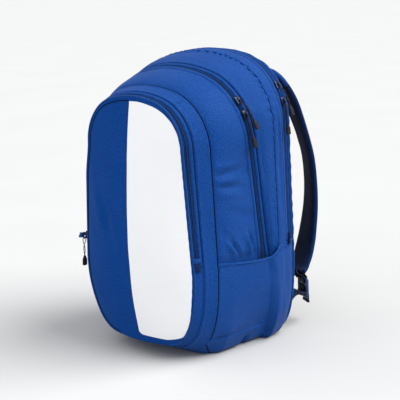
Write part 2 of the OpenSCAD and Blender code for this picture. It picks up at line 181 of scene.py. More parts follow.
# ------------------------------------------------------------------ noise
def vnoise(p, seed=0):
    """Smooth value noise from -1 to 1 at points in cell units."""
    p = np.asarray(p, float)
    i = np.floor(p).astype(np.int64)
    f = p - i
    f = f * f * (3 - 2 * f)

    def h(dx, dy, dz):
        n = (i[..., 0] + dx) * 73856093 ^ (i[..., 1] + dy) * 19349663 ^ (i[..., 2] + dz) * 83492791 ^ (seed * 2654435761 & 0x7FFFFFFF)
        n = (n ^ (n >> 13)) * 1274126177 & 0xFFFFFFFF
        n = (n ^ (n >> 16)) & 0xFFFF
        return n / 32767.5 - 1

    x, y, z = f[..., 0], f[..., 1], f[..., 2]
    a = mix(mix(h(0, 0, 0), h(1, 0, 0), x), mix(h(0, 1, 0), h(1, 1, 0), x), y)
    b = mix(mix(h(0, 0, 1), h(1, 0, 1), x), mix(h(0, 1, 1), h(1, 1, 1), x), y)
    return mix(a, b, z)


def ridge(P, c, d, along, across, amp):
    """A soft fold: centre, direction, half length, half width and height."""
    q = P - np.array(c, float)
    d = np.array(d, float) / np.linalg.norm(d)
    s = q @ d
    t2 = (q * q).sum(-1) - s * s
    return amp * np.exp(-(s / along) ** 2 - t2 / across ** 2)


def side_ridge(P, c, d, along, across, amp):
    """A fold on the side wall: measured in depth and height only."""
    P = P.copy()
    P[..., 0] = np.where(P[..., 0] * c[0] > 0, np.where(np.abs(P[..., 0]) > 70, c[0], P[..., 0]), P[..., 0])
    return ridge(P, c, d, along, across, amp)


def rumple(P, seed=0):
    return 1.1 * vnoise(P / 64, seed) + 0.62 * vnoise(P / 27, seed + 1) + 0.22 * vnoise(P / 11, seed + 2)


# ------------------------------------------------------------------ mesh makers
def slack(V):
    """The left shoulder and foot of the pack hang a little inwards."""
    x, y, z = V[:, 0], V[:, 1], V[:, 2]
    a = step(25, 110, -x) * (1 - step(10, 75, y))
    W = V.copy()
    W[:, 0] += a * (5.5 * step(285, 350, z) + 4.0 * (1 - step(60, 125, z)) * step(10, 40, z))
    # the gathered middle seam wanders over the crown
    g = np.exp(-((y - 50 + 0.0163 * z) / 9.0) ** 2) * step(300, 400, z)
    u = np.arctan2(z - 330, x) * 165
    W[:, 1] += g * (1.3 * np.sin(2 * math.pi * u / 27 + 2.0 * np.sin(u / 31)) + 0.6 * np.sin(2 * math.pi * u / 12.3 + 1.1))
    return W


def make(name, verts, faces, uvs, mats, mat_ids=None, flat=None, normals=None, sharp=None):
    """verts in millimetres; uvs in millimetres, one list per face; flat = faces shaded flat."""
    me = bpy.data.meshes.new(name)
    me.from_pydata((slack(np.asarray(verts, float)) * 0.001).tolist(), [], faces)
    for m in mats:
        me.materials.append(m)
    if mat_ids is not None:
        me.polygons.foreach_set("material_index", np.asarray(mat_ids, np.int32))
    smooth = np.ones(len(faces), bool)
    if flat is not None:
        smooth[flat] = False
    me.polygons.foreach_set("use_smooth", smooth)
    if uvs is not None:
        lay = me.uv_layers.new(name="UVMap")
        flatuv = np.concatenate([np.asarray(u, float).reshape(-1, 2) for u in uvs]) * 0.001
        lay.data.foreach_set("uv", flatuv.astype(np.float32).ravel())
    me.update()
    me.validate()
    if normals is not None:
        me.normals_split_custom_set_from_vertices(np.asarray(normals, float).tolist())
    ob = bpy.data.objects.new(name, me)
    scene.collection.objects.link(ob)
    return ob


def along(A, L, d):
    k = np.clip((L <= d[:, None]).sum(1) - 1, 0, L.shape[1] - 2)
    i = np.arange(len(d))
    t = (d - L[i, k]) / np.maximum(L[i, k + 1] - L[i, k], 1e-9)
    return A[i, k] + (A[i, k + 1] - A[i, k]) * t[:, None]


def on_band(stations, rows):
    """Points and normals of a strip of seam outlines, and the distance across it."""
    O = np.stack([outline(s, rows) for s in stations], 1)
    Y = np.stack([yy(s, O[:, k, 1]) for k, s in enumerate(stations)], 1)
    P = np.stack([O[..., 0], Y, O[..., 1]], -1)
    N = np.stack([O[..., 2], 0 * Y, O[..., 3]], -1)
    L = np.concatenate([np.zeros((len(rows), 1)), np.cumsum(np.linalg.norm(np.diff(P, axis=1), axis=2), 1)], 1)
    return P, N, L


def place(P, N, L, kind, v, a=6.0, b=6.0):
    tot = L[:, -1]
    d = np.full(len(tot), float(v)) if kind == "s" else tot - v if kind == "e" else a + (tot - a - b) * v
    n = along(N, L, d)
    return along(P, L, d), n / np.linalg.norm(n, axis=1)[:, None], d


def band(name, stations, rows, cols, mats, closed, disp=None, shift=0.0, a=6.0, b=6.0):
    """A closed solid strip round the pack. cols run over the outer face and back over the
    inner one: (place, mm or share, height off the outline, material)."""
    P, N, L = on_band(stations, rows)
    n, m = len(rows), len(cols)
    Q, NN, D = np.empty((n, m, 3)), np.empty((n, m, 3)), np.empty((n, m))
    off = np.empty((n, m))
    for j, (kind, v, o, _) in enumerate(cols):
        Q[:, j], NN[:, j], D[:, j] = place(P, N, L, kind, v, a, b)
        off[:, j] = o
    tot = L[:, -1:]
    if disp is not None:
        off = off + disp(Q, NN, D, tot)
    V = Q + NN * (off + shift)[..., None]
    rowlen = np.concatenate([[0], np.cumsum(np.linalg.norm(np.diff(Q[:, 0], axis=0), axis=1))])
    faces, uvs, ids, flat = [], [], [], []
    turns = n if closed else n - 1
    last = rowlen[-1] + np.linalg.norm(Q[0, 0] - Q[-1, 0])
    for i in range(turns):
        i2 = (i + 1) % n
        u0, u1 = rowlen[i], (rowlen[i + 1] if i + 1 < n else last)
        for j in range(m):
            j2 = (j + 1) % m
            faces.append((i * m + j, i * m + j2, i2 * m + j2, i2 * m + j))
            uvs.append([(u0, D[i, j]), (u0, D[i, j2]), (u1, D[i2, j2]), (u1, D[i2, j])])
            ids.append(cols[j][3])
    if not closed:
        for i, order in ((0, range(m - 1, -1, -1)), (n - 1, range(m))):
            flat.append(len(faces))
            faces.append(tuple(i * m + j for j in order))
            uvs.append([(D[i, j], off[i, j]) for j in order])
            ids.append(cols[0][3])
    return make(name, V.reshape(-1, 3), faces, uvs, mats, ids, flat or None)


ZIP_HEM = [(0.6, -2.0), (0.0, -1.0), (0.1, 0.3), (0.7, 1.05), (1.8, 1.3), (3.4, 1.25), (4.6, 0.95), (5.1, 0.2), (5.4, -0.55), (6.0, -0.25)]
HEM7 = [(0.6, -2.0), (0.0, -1.0), (0.1, 0.3), (0.7, 1.0), (1.8, 1.3), (4.0, 1.2), (5.8, 0.8), (6.6, 0.2), (7.05, -0.55), (7.5, -0.25), (9.0, 0.1)]
GROOVE = [(0.5, -2.6), (0.0, -1.6), (0.0, -0.4), (0.35, 0.6), (1.1, 1.15), (2.2, 1.2), (3.6, 0.8), (6.0, 0.2)]
LIP = [(0.5, -2.2), (0.5, -1.1), (0.8, 0.2), (1.4, 0.8), (2.3, 0.95), (3.6, 0.6), (6.0, 0.15)]
VALLEY = [(0.3, -2.6), (0.5, -2.0), (1.2, -1.3), (2.4, -0.65), (3.8, -0.25), (6.0, 0.0)]
SEAM = [(0.2, -2.6), (0.35, -1.9), (0.8, -0.8), (1.7, 0.2), (3.0, 0.5), (6.0, 0.2)]
PLAIN = [(0.0, -0.8), (0.3, -0.2), (1.0, 0.0), (6.0, 0.0)]


def gusset_cols(start, end, mid, thick=2.4):
    c = [("s", v, o, 0) for v, o in start]
    c += [("f", k / mid, 0.0, 0) for k in range(1, mid)]
    c += [("e", v, o, 0) for v, o in reversed(end)]
    k = max(2, mid // 3)
    c += [("e", 1.0, -thick - 0.6, 1)] + [("f", 1 - j / k, -thick, 1) for j in range(0, k + 1)] + [("s", 1.0, -thick - 0.6, 1)]
    return c


def grid_normals(P):
    a = np.gradient(P, axis=1)
    b = np.gradient(P, axis=0)
    n = np.cross(a, b)
    return n / np.maximum(np.linalg.norm(n, axis=2), 1e-9)[..., None]


def sheet(name, P, thick, mats, N=None, drop=0.5, inner=1, keep=None, rim=None, uv=None):
    """A sheet of given thickness on a grid; its edges roll over. keep = rows to use of the grid."""
    N = grid_normals(P) if N is None else N
    if uv is None:
        u = np.concatenate([np.zeros((len(P), 1)), np.cumsum(np.linalg.norm(np.diff(P, axis=1), axis=2), 1)], 1)
        mid = P.shape[1] // 2
        v = np.concatenate([[0], np.cumsum(np.linalg.norm(np.diff(P[:, mid], axis=0), axis=1))])
        uv = np.stack([u - u[:, mid:mid + 1], np.repeat(v[:, None], P.shape[1], 1)], -1)
    if keep is not None:
        P, N, uv = P[keep], N[keep], uv[keep]
    n, m = P.shape[:2]
    W = np.zeros((n, m))
    e = {"l": (slice(None), 0), "r": (slice(None), -1), "b": (0, slice(None)), "t": (-1, slice(None))}
    for k in (rim if rim is not None else "lrbt"):
        W[e[k]] = drop * thick
    top = P - N * W[..., None]
    bot = P - N * thick
    V = np.concatenate([top.reshape(-1, 3), bot.reshape(-1, 3)])
    o = n * m
    idx = np.arange(o).reshape(n, m)
    q = np.stack([idx[:-1, :-1], idx[:-1, 1:], idx[1:, 1:], idx[1:, :-1]], -1).reshape(-1, 4)
    fu = np.stack([uv[:-1, :-1], uv[:-1, 1:], uv[1:, 1:], uv[1:, :-1]], -2).reshape(-1, 4, 2)
    faces = q.tolist() + (q[:, ::-1] + o).tolist()
    uvs = list(fu) + list(fu[:, ::-1])
    ids = [0] * len(q) + [inner] * len(q)
    f = uv.reshape(-1, 2)
    border = list(idx[0, :]) + list(idx[1:, -1]) + list(idx[-1, -2::-1]) + list(idx[-2:0:-1, 0])
    for a, b in zip(border, border[1:] + border[:1]):
        faces.append((int(b), int(a), int(a) + o, int(b) + o))
        uvs.append([f[b], f[a], f[a], f[b]])
        ids.append(0)
    nn = np.concatenate([N.reshape(-1, 3), -N.reshape(-1, 3)])
    return make(name, V, faces, uvs, mats, ids, normals=nn if keep is not None else None)


def frames(P, closed):
    P = np.asarray(P, float)
    T = np.roll(P, -1, 0) - np.roll(P, 1, 0)
    if not closed:
        T[0], T[-1] = P[1] - P[0], P[-1] - P[-2]
    T /= np.maximum(np.linalg.norm(T, axis=1), 1e-9)[:, None]
    return T


def tube(name, P, r, mats, N, sides=8, closed=False, flat=1.0, mat=0, twist=None):
    """A tube on points, round or flattened along its normals."""
    P, N = np.asarray(P, float), np.asarray(N, float)
    T = frames(P, closed)
    N = N - (N * T).sum(1)[:, None] * T
    N /= np.maximum(np.linalg.norm(N, axis=1), 1e-9)[:, None]
    A = np.cross(T, N)
    n = len(P)
    r = np.broadcast_to(np.asarray(r, float), (n,))
    ang = np.arange(sides) / sides * 2 * math.pi
    V = P[:, None] + r[:, None, None] * (N[:, None] * (flat * np.sin(ang))[None, :, None] + A[:, None] * np.cos(ang)[None, :, None])
    L = np.concatenate([[0], np.cumsum(np.linalg.norm(np.diff(P, axis=0), axis=1))])
    last = L[-1] + np.linalg.norm(P[0] - P[-1])
    faces, uvs = [], []
    per = 2 * math.pi * float(r.mean()) / sides
    for i in range(n if closed else n - 1):
        i2 = (i + 1) % n
        u1 = L[i + 1] if i + 1 < n else last
        for k in range(sides):
            k2 = (k + 1) % sides
            faces.append((i * sides + k, i * sides + k2, i2 * sides + k2, i2 * sides + k))
            uvs.append([(L[i], k * per), (L[i], (k + 1) * per), (u1, (k + 1) * per), (u1, k * per)])
    flatf = []
    if not closed:
        for i, order in ((0, range(sides - 1, -1, -1)), (n - 1, range(sides))):
            flatf.append(len(faces))
            faces.append(tuple(i * sides + k for k in order))
            uvs.append([(k * per, 0) for k in order])
    return make(name, V.reshape(-1, 3), faces, uvs, mats, [mat] * len(faces), flatf or None)


def join_parts(name, parts, mats):
    """One piece from lists of (verts, faces, material)."""
    V, Fa, ids, uvs, o = [], [], [], [], 0
    for v, f, m in parts:
        v = np.asarray(v, float)
        V.append(v)
        for q in f:
            Fa.append(tuple(int(k) + o for k in q))
            ids.append(m)
            uvs.append([(v[k][0] + v[k][1], v[k][2]) for k in q])
        o += len(v)
    return make(name, np.concatenate(V), Fa, uvs, mats, ids)


LOZ_F = [(0, 1, 2), (0, 2, 3), (0, 3, 4), (0, 4, 1), (1, 5, 6, 2), (2, 6, 7, 3), (3, 7, 8, 4), (4, 8, 5, 1),
         (9, 6, 5), (9, 7, 6), (9, 8, 7), (9, 5, 8)]


def lozenges(C, T, N, half, wide, high):
    """Little rounded bars at points C along T, standing along N."""
    A = np.cross(T, N)
    rings = []
    rings.append(C - T * half)
    for s in (-0.55, 0.55):
        for a, b in ((1, 0), (0, 1), (-1, 0), (0, -1)):
            rings.append(C + T * half * s + A * wide * a + N * high * b)
    rings.append(C + T * half)
    V = np.stack(rings, 1).reshape(-1, 3)
    faces = []
    for k in range(len(C)):
        faces += [tuple(10 * k + j for j in q) for q in LOZ_F]
    return V, faces


def resample(P, N, pitch, closed=False):
    P, N = np.asarray(P, float), np.asarray(N, float)
    if closed:
        P, N = np.concatenate([P, P[:1]]), np.concatenate([N, N[:1]])
    L = np.concatenate([[0], np.cumsum(np.linalg.norm(np.diff(P, axis=0), axis=1))])
    k = max(2, int(L[-1] / pitch))
    s = (np.arange(k) + 0.5) * L[-1] / k
    Q = np.stack([np.interp(s, L, P[:, c]) for c in range(3)], 1)
    W = np.stack([np.interp(s, L, N[:, c]) for c in range(3)], 1)
    W /= np.maximum(np.linalg.norm(W, axis=1), 1e-9)[:, None]
    T = np.stack([np.interp(np.minimum(s + 0.5, L[-1]), L, P[:, c]) - np.interp(np.maximum(s - 0.5, 0), L, P[:, c]) for c in range(3)], 1)
    T /= np.maximum(np.linalg.norm(T, axis=1), 1e-9)[:, None]
    return Q, T, W


def stitches(name, lines, mat, pitch=3.6, half=1.35, wide=0.38, high=0.3):
    """Rows of thread: lines are (points, normals, closed)."""
    parts = []
    for P, N, closed in lines:
        Q, T, W = resample(P, N, pitch, closed)
        v, f = lozenges(Q, T, W, half, wide, high)
        parts.append((v, f, 0))
    return join_parts(name, parts, [mat])


def attach(ob, how, nodes=()):
    if isinstance(how, str):
        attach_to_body(ob, how)
    else:
        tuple(how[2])
        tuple(how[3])
        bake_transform(ob)
    if nodes:
        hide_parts(*nodes)
    return ob


# stretches where fabric crosses a fold; attach() only bakes such pieces in place, they do not turn over
ZA = ("root", "main_flap", (0, 0, 0.080), (0, 0, 0.130))
ZB = ("main_flap", "front_flap", (0, 0, 0.130), (0, 0, 0.200))
ZR = ("root", "back", (0, 0.052, 0), (0, 0.079, 0))


# ------------------------------------------------------------------ materials
class Mat:
    def __init__(self, name):
        self.m = bpy.data.materials.new(name)
        self.m.use_nodes = True
        self.t = self.m.node_tree
        self.b = next(n for n in self.t.nodes if n.type == "BSDF_PRINCIPLED")

    def n(self, kind, **props):
        x = self.t.nodes.new("ShaderNode" + kind)
        for k, v in props.items():
            setattr(x, k, v)
        return x

    def link(self, a, b):
        self.t.links.new(a, b)

    def put(self, sock, v):
        if hasattr(v, "is_linked"):
            self.link(v, sock)
        else:
            sock.default_value = v

    def coords(self, kind="UV", scale=(1, 1, 1)):
        c = self.n("TexCoord").outputs[kind]
        mp = self.n("Mapping")
        mp.inputs["Scale"].default_value = scale
        self.link(c, mp.inputs["Vector"])
        return mp.outputs["Vector"]

    def noise(self, vec, scale, detail=2.0, rough=0.5):
        x = self.n("TexNoise")
        self.link(vec, x.inputs["Vector"])
        x.inputs["Scale"].default_value = scale
        x.inputs["Detail"].default_value = detail
        x.inputs["Roughness"].default_value = rough
        return x.outputs["Fac"]

    def wave(self, vec, period, axis="X", profile="SIN"):
        x = self.n("TexWave", wave_type="BANDS", bands_direction=axis, wave_profile=profile)
        self.link(vec, x.inputs["Vector"])
        x.inputs["Scale"].default_value = math.pi / 10 / period
        return x.outputs["Fac"]

    def checker(self, vec, size):
        x = self.n("TexChecker")
        self.link(vec, x.inputs["Vector"])
        x.inputs["Scale"].default_value = 1 / size
        return x.outputs["Fac"]

    def voronoi(self, vec, size, feature="F1", rnd=0.15):
        x = self.n("TexVoronoi", feature=feature)
        self.link(vec, x.inputs["Vector"])
        x.inputs["Scale"].default_value = 1 / size
        x.inputs["Randomness"].default_value = rnd
        return x.outputs["Distance"]

    def math(self, op, a, b=0.0, clamp=False):
        x = self.n("Math", operation=op, use_clamp=clamp)
        self.put(x.inputs[0], a)
        self.put(x.inputs[1], b)
        return x.outputs[0]

    def span(self, v, lo, hi, a, b):
        x = self.n("MapRange")
        self.put(x.inputs[0], v)
        for k, q in enumerate((lo, hi, a, b)):
            x.inputs[1 + k].default_value = q
        return x.outputs[0]

    def fmix(self, f, a, b):
        x = self.n("Mix", data_type="FLOAT")
        self.put(x.inputs[0], f)
        self.put(x.inputs[2], a)
        self.put(x.inputs[3], b)
        return x.outputs[0]

    def cmix(self, f, a, b):
        x = self.n("Mix", data_type="RGBA")
        self.put(x.inputs[0], f)
        self.put(x.inputs[6], a if hasattr(a, "is_linked") else (*a, 1))
        self.put(x.inputs[7], b if hasattr(b, "is_linked") else (*b, 1))
        return x.outputs[2]

    def bump(self, h, dist, strength=1.0, after=None):
        x = self.n("Bump")
        x.inputs["Strength"].default_value = strength
        x.inputs["Distance"].default_value = dist
        self.link(h, x.inputs["Height"])
        if after is not None:
            self.link(after, x.inputs["Normal"])
        return x.outputs["Normal"]

    def done(self, color=None, rough=None, normal=None, **const):
        if color is not None:
            self.link(color, self.b.inputs["Base Color"])
        if rough is not None:
            self.link(rough, self.b.inputs["Roughness"])
        if normal is not None:
            self.link(normal, self.b.inputs["Normal"])
        for k, v in const.items():
            self.b.inputs[k.replace("_", " ")].default_value = v
        return self.m


def woven(name, deep, base, lit, yarn=0.0009, coords="UV", sheen=0.025, bump=0.00016, rough=(0.62, 0.85), grain=0.5, spec=0.03):
    """Plain weave: yarns over and under, slubs along each yarn, broad tone changes; the lightest flecks are whitish,
    partly grain and partly painted glints of the fibres.
    """
    m = Mat(name)
    v = m.coords(coords)
    over = m.checker(v, yarn)
    warp, weft = m.wave(v, yarn, "X"), m.wave(v, yarn, "Y")
    h = m.fmix(over, warp, weft)
    slub1 = m.noise(m.coords(coords, (900, 130, 300)), 1.0, 1.0)
    slub2 = m.noise(m.coords(coords, (130, 900, 300)), 1.0, 1.0)
    slub = m.fmix(over, slub1, slub2)
    fleck = m.noise(v, 620.0, 2.0, 0.6)
    mottle = m.noise(v, 420.0, 1.0, 0.5)
    broad = m.noise(v, 14.0, 3.0, 0.55)
    g = m.math("ADD", m.math("MULTIPLY", slub, 0.30), m.math("MULTIPLY", fleck, grain))
    g = m.math("ADD", g, m.math("MULTIPLY", h, 0.14))
    g = m.math("ADD", g, m.math("MULTIPLY", m.math("ADD", mottle, m.math("MULTIPLY", broad, 0.25)), 0.75))
    f = m.span(g, 0.72, 1.12, 0.0, 1.0)
    lo = m.cmix(m.span(f, 0.0, 0.5, 0.0, 1.0), deep, base)
    col = m.cmix(m.span(f, 0.5, 1.0, 0.0, 1.0), lo, lit)
    hh = m.math("ADD", h, m.math("MULTIPLY", fleck, 0.9))
    nrm = m.bump(hh, bump, 0.8)
    ro = m.span(g, 0.6, 1.25, rough[1], rough[0])
    return m.done(col, ro, nrm, Sheen_Weight=sheen, Sheen_Roughness=0.45, Sheen_Tint=(0.85, 0.92, 1.0, 1.0), Specular_IOR_Level=spec)


def air_mesh(name, deep, base, size=0.0032, coords="UV"):
    """Spacer mesh: open cells in a knitted face."""
    m = Mat(name)
    v = m.coords(coords)
    d = m.voronoi(v, size, "F1", 0.08)
    hole = m.span(d, 0.18, 0.42, 0.0, 1.0)
    knit = m.noise(v, 1400.0, 2.0)
    broad = m.noise(v, 16.0, 2.0)
    c = m.cmix(hole, deep, base)
    c = m.cmix(m.span(m.math("ADD", m.math("MULTIPLY", knit, 0.6), m.math("MULTIPLY", broad, 0.4)), 0.3, 0.7, 0.0, 0.45), c, [x * 1.9 for x in base])
    h = m.math("ADD", hole, m.math("MULTIPLY", knit, 0.25))
    return m.done(c, m.span(hole, 0, 1, 0.95, 0.75), m.bump(h, 0.0007, 0.9), Sheen_Weight=0.02, Sheen_Roughness=0.5, Sheen_Tint=(0.7, 0.8, 1.0, 1.0), Specular_IOR_Level=0.06)


def ribbed(name, deep, base, lit, rib=0.0012, axis="Y", coords="UV", cross=0.0026):
    """Webbing and tape: fine ribs with a slanted weave across them."""
    m = Mat(name)
    v = m.coords(coords)
    r = m.wave(v, rib, axis)
    d = m.wave(v, cross, "DIAGONAL")
    n = m.noise(v, 900.0, 2.0)
    g = m.math("ADD", m.math("MULTIPLY", r, 0.45), m.math("ADD", m.math("MULTIPLY", d, 0.2), m.math("MULTIPLY", n, 0.5)))
    c = m.cmix(m.span(g, 0.3, 0.62, 0.0, 1.0), deep, base)
    c = m.cmix(m.span(g, 0.62, 1.0, 0.0, 1.0), c, lit)
    return m.done(c, m.span(g, 0.3, 1.0, 0.85, 0.6), m.bump(g, 0.0003, 0.8), Sheen_Weight=0.03, Sheen_Roughness=0.4, Specular_IOR_Level=0.15)


def moulded(name, base, lit, rough=(0.35, 0.55), scale=700.0, bump=0.00006, metallic=0.0, wear_and_glint=None, spec=0.5):
    """Moulded or cast: fine texture, handling marks, lighter where rubbed; those light rubbed spots are partly real
    wear and partly painted glints.
    """
    m = Mat(name)
    v = m.coords("Object")
    fine = m.noise(v, scale, 2.0)
    marks = m.noise(v, 90.0, 4.0, 0.65)
    f = m.span(m.math("ADD", m.math("MULTIPLY", fine, 0.4), m.math("MULTIPLY", marks, 0.6)), 0.35, 0.7, 0.0, 1.0)
    c = m.cmix(f, base, lit)
    if wear_and_glint:
        c = m.cmix(m.span(marks, 0.6, 0.72, 0.0, 0.5), c, wear_and_glint)
    return m.done(c, m.span(marks, 0.3, 0.7, rough[0], rough[1]), m.bump(fine, bump, 0.7), Metallic=metallic, Specular_IOR_Level=spec)


# one blue cloth in two copies: the gussets' copy keeps whiter lightest flecks, partly a painted sheen; the front
# panel's copy is painted less red and less whitish, as shade without sheen on the front face
BLUE = woven("blue_weave", (0.0005, 0.0335, 0.186), (0.0020, 0.0450, 0.2190), (0.0130, 0.0635, 0.263), rough=(0.40, 0.54), spec=0.06)
BLUE_PANEL_SHADED = woven("blue_panel_shaded_weave", (0.0003, 0.0325, 0.190), (0.0013, 0.0440, 0.2270), (0.0090, 0.0615, 0.273), rough=(0.55, 0.75), spec=0.02)
BLUE_EDGE = woven("blue_binding", (0.0007, 0.0350, 0.190), (0.0022, 0.0470, 0.2260), (0.0130, 0.066, 0.272), yarn=0.0006, rough=(0.40, 0.54), spec=0.06)
DEEP = woven("deep_blue_weave", (0.0022, 0.010, 0.046), (0.0045, 0.019, 0.080), (0.0085, 0.031, 0.118), yarn=0.0006)
SEAM_DARK = woven("seam_shadow_weave", (0.0008, 0.0030, 0.014), (0.0014, 0.0050, 0.022), (0.0026, 0.0090, 0.036), yarn=0.0006, sheen=0.0)
LINING = woven("lining_weave", (0.006, 0.009, 0.022), (0.012, 0.017, 0.040), (0.022, 0.030, 0.060), yarn=0.0007, sheen=0.02)
NAVY = woven("navy_weave", (0.0048, 0.0082, 0.026), (0.0085, 0.0145, 0.042), (0.015, 0.024, 0.062), yarn=0.0007, sheen=0.03)
STRAP = woven("strap_weave", (0.0036, 0.0080, 0.026), (0.0062, 0.0140, 0.046), (0.0105, 0.0225, 0.070), yarn=0.0008, sheen=0.02)
MESH = air_mesh("air_mesh", (0.0020, 0.0034, 0.0115), (0.0080, 0.0135, 0.0410))
MESH_OBJ = air_mesh("air_mesh_pad", (0.0026, 0.0044, 0.0140), (0.0110, 0.0180, 0.0530), coords="Object")
TAPE = ribbed("zip_tape", (0.0026, 0.0105, 0.046), (0.0048, 0.0190, 0.080), (0.0095, 0.0330, 0.122), rib=0.0008, axis="X", cross=0.0016)
WEB = ribbed("webbing", (0.0040, 0.0070, 0.020), (0.0080, 0.0130, 0.036), (0.018, 0.026, 0.062), rib=0.0015, axis="Y", cross=0.003)
COIL = moulded("zip_coil", (0.004, 0.026, 0.105), (0.011, 0.052, 0.180), rough=(0.45, 0.65), scale=1500.0, spec=0.08)
# the enamel's pale grey rubbed spots are partly real wear and partly painted glints
ENAMEL = moulded("dark_enamel", (0.006, 0.012, 0.032), (0.022, 0.036, 0.074), rough=(0.22, 0.4), metallic=0.65, wear_and_glint=(0.30, 0.31, 0.34))
RUBBER = moulded("pull_rubber", (0.006, 0.007, 0.012), (0.016, 0.019, 0.030), rough=(0.5, 0.7), scale=1600.0, bump=0.00012, spec=0.16)
ACETAL = moulded("buckle_acetal", (0.0070, 0.026, 0.115), (0.014, 0.044, 0.170), rough=(0.38, 0.52), spec=0.35)
BOARD = moulded("board_sheet", (0.012, 0.012, 0.014), (0.026, 0.026, 0.030), rough=(0.45, 0.65), scale=300.0, bump=0.0003)
THREAD = moulded("thread_blue", (0.0045, 0.044, 0.205), (0.010, 0.068, 0.290), rough=(0.6, 0.8), scale=2500.0, spec=0.15)
THREAD_DARK = moulded("thread_navy", (0.0022, 0.0080, 0.036), (0.0050, 0.0160, 0.060), rough=(0.6, 0.8), scale=2500.0, spec=0.1)


def coated():
    """Smooth coated cloth: a pale film over a fine weave, with faint scuffs."""
    m = Mat("pale_coated")
    v = m.coords("UV")
    over = m.checker(v, 0.0008)
    h = m.fmix(over, m.wave(v, 0.0008, "X"), m.wave(v, 0.0008, "Y"))
    fine = m.noise(v, 900.0, 3.0, 0.6)
    broad = m.noise(v, 11.0, 3.0)
    g = m.math("ADD", m.math("MULTIPLY", fine, 0.5), m.math("MULTIPLY", broad, 0.5))
    c = m.cmix(m.span(g, 0.3, 0.7, 0.0, 1.0), (0.800, 0.810, 0.835), (0.840, 0.845, 0.860))
    hh = m.math("ADD", m.math("MULTIPLY", h, 0.4), fine)
    return m.done(c, m.span(g, 0.3, 0.7, 0.42, 0.56), m.bump(hh, 0.00009, 0.7), Specular_IOR_Level=0.25, Coat_Weight=0.03, Coat_Roughness=0.4)


PALE = coated()


def braid():
    m = Mat("braided_cord")
    v = m.coords("UV")
    d1 = m.wave(v, 0.0016, "DIAGONAL")
    n = m.noise(v, 1500.0, 2.0)
    g = m.math("ADD", m.math("MULTIPLY", d1, 0.6), m.math("MULTIPLY", n, 0.5))
    c = m.cmix(m.span(g, 0.25, 0.85, 0.0, 1.0), (0.004, 0.006, 0.017), (0.017, 0.021, 0.044))
    return m.done(c, m.span(g, 0.2, 0.9, 0.8, 0.55), m.bump(g, 0.0003, 0.9), Sheen_Weight=0.05, Specular_IOR_Level=0.25)


BRAID = braid()

# ------------------------------------------------------------------ sliders, cords and pulls
TAU = math.atan2(71, 490)


def rx(a):
    return np.array([[1, 0, 0], [0, math.cos(a), -math.sin(a)], [0, math.sin(a), math.cos(a)]])


def ry(a):
    return np.array([[math.cos(a), 0, math.sin(a)], [0, 1, 0], [-math.sin(a), 0, math.cos(a)]])


def rz(a):
    return np.array([[math.cos(a), -math.sin(a), 0], [math.sin(a), math.cos(a), 0], [0, 0, 1]])


def on_arc(s, deg, tilt):
    a = math.radians(deg)
    r1, z = 0.71 * s[1], zsh(s) + 0.71 * s[1] * math.sin(a)
    o = np.array([s[1] - r1 + r1 * math.cos(a), yy(s, z), z])
    return o, rx(tilt) @ ry(-a)


def on_leg(z):
    s = nF(5.5)
    x = -mix(s[0], s[1], (z - 150) / (zsh(s) - 150))
    return np.array([x, s[3], z]), ry(math.atan2(s[0] - s[1], zsh(s) - 150)) @ np.diag([-1.0, 1, 1])


SEATS = {
    "front": on_leg(184),
    "main_upper": on_arc(M, 34, TAU),
    "main_lower": on_arc(M, 21, TAU),
    "rear_upper": on_arc(R, 30, 0),
    "rear_lower": on_arc(R, 15, 0),
}
HANG_L = [[6.2, 0, -5], [6.4, -0.3, -9], [6, -0.8, -14], [5, -1.3, -20], [3.8, -1.7, -27], [2.6, -2, -34], [1.9, -2.1, -38]]
HANG_U = [[6.2, 0.5, -5], [6.6, 2.6, -9], [6.4, 5.1, -14], [5.4, 7.2, -20], [4.1, 8.2, -27], [2.8, 8.4, -34], [2.1, 8.3, -38]]
HANG_F = [[13, 0, -9.6], [13.7, 0, -15], [14, 0, -22], [13.4, 0, -31], [13.1, 0, -40.4]]
HANG_R = [[x + 1.6 * min(1, (-5 - z) / 12), y, z] for x, y, z in HANG_L]
HANG = {"front": HANG_F, "main_upper": HANG_U, "main_lower": HANG_L, "rear_upper": HANG_U, "rear_lower": HANG_R}


def smooth_path(P, k=6):
    """Catmull-Rom through given points."""
    P = np.asarray(P, float)
    E = np.vstack([2 * P[0] - P[1], P, 2 * P[-1] - P[-2]])
    out = []
    for i in range(1, len(E) - 2):
        for j in range(k):
            t = j / k
            out.append(0.5 * (2 * E[i] + (E[i + 1] - E[i - 1]) * t + (2 * E[i - 1] - 5 * E[i] + 4 * E[i + 1] - E[i + 2]) * t * t + (3 * E[i] - E[i - 1] - 3 * E[i + 1] + E[i + 2]) * t ** 3))
    out.append(P[-1])
    return np.array(out)


def tube_parts(P, r, N0, sides=8, closed=False, flat=1.0):
    """Verts and faces of a tube, for pieces made of several."""
    P = np.asarray(P, float)
    T = frames(P, closed)
    N = np.broadcast_to(np.asarray(N0, float), P.shape)
    N = N - (N * T).sum(1)[:, None] * T
    N = N / np.maximum(np.linalg.norm(N, axis=1), 1e-9)[:, None]
    A = np.cross(T, N)
    n = len(P)
    r = np.broadcast_to(np.asarray(r, float), (n,))
    ang = np.arange(sides) / sides * 2 * math.pi
    V = (P[:, None] + r[:, None, None] * (N[:, None] * (flat * np.sin(ang))[None, :, None] + A[:, None] * np.cos(ang)[None, :, None])).reshape(-1, 3)
    f = []
    for i in range(n if closed else n - 1):
        i2 = (i + 1) % n
        for k in range(sides):
            k2 = (k + 1) % sides
            f.append((i * sides + k, i * sides + k2, i2 * sides + k2, i2 * sides + k))
    if not closed:
        f.append(tuple(range(sides - 1, -1, -1)))
        f.append(tuple((n - 1) * sides + k for k in range(sides)))
    return V, f


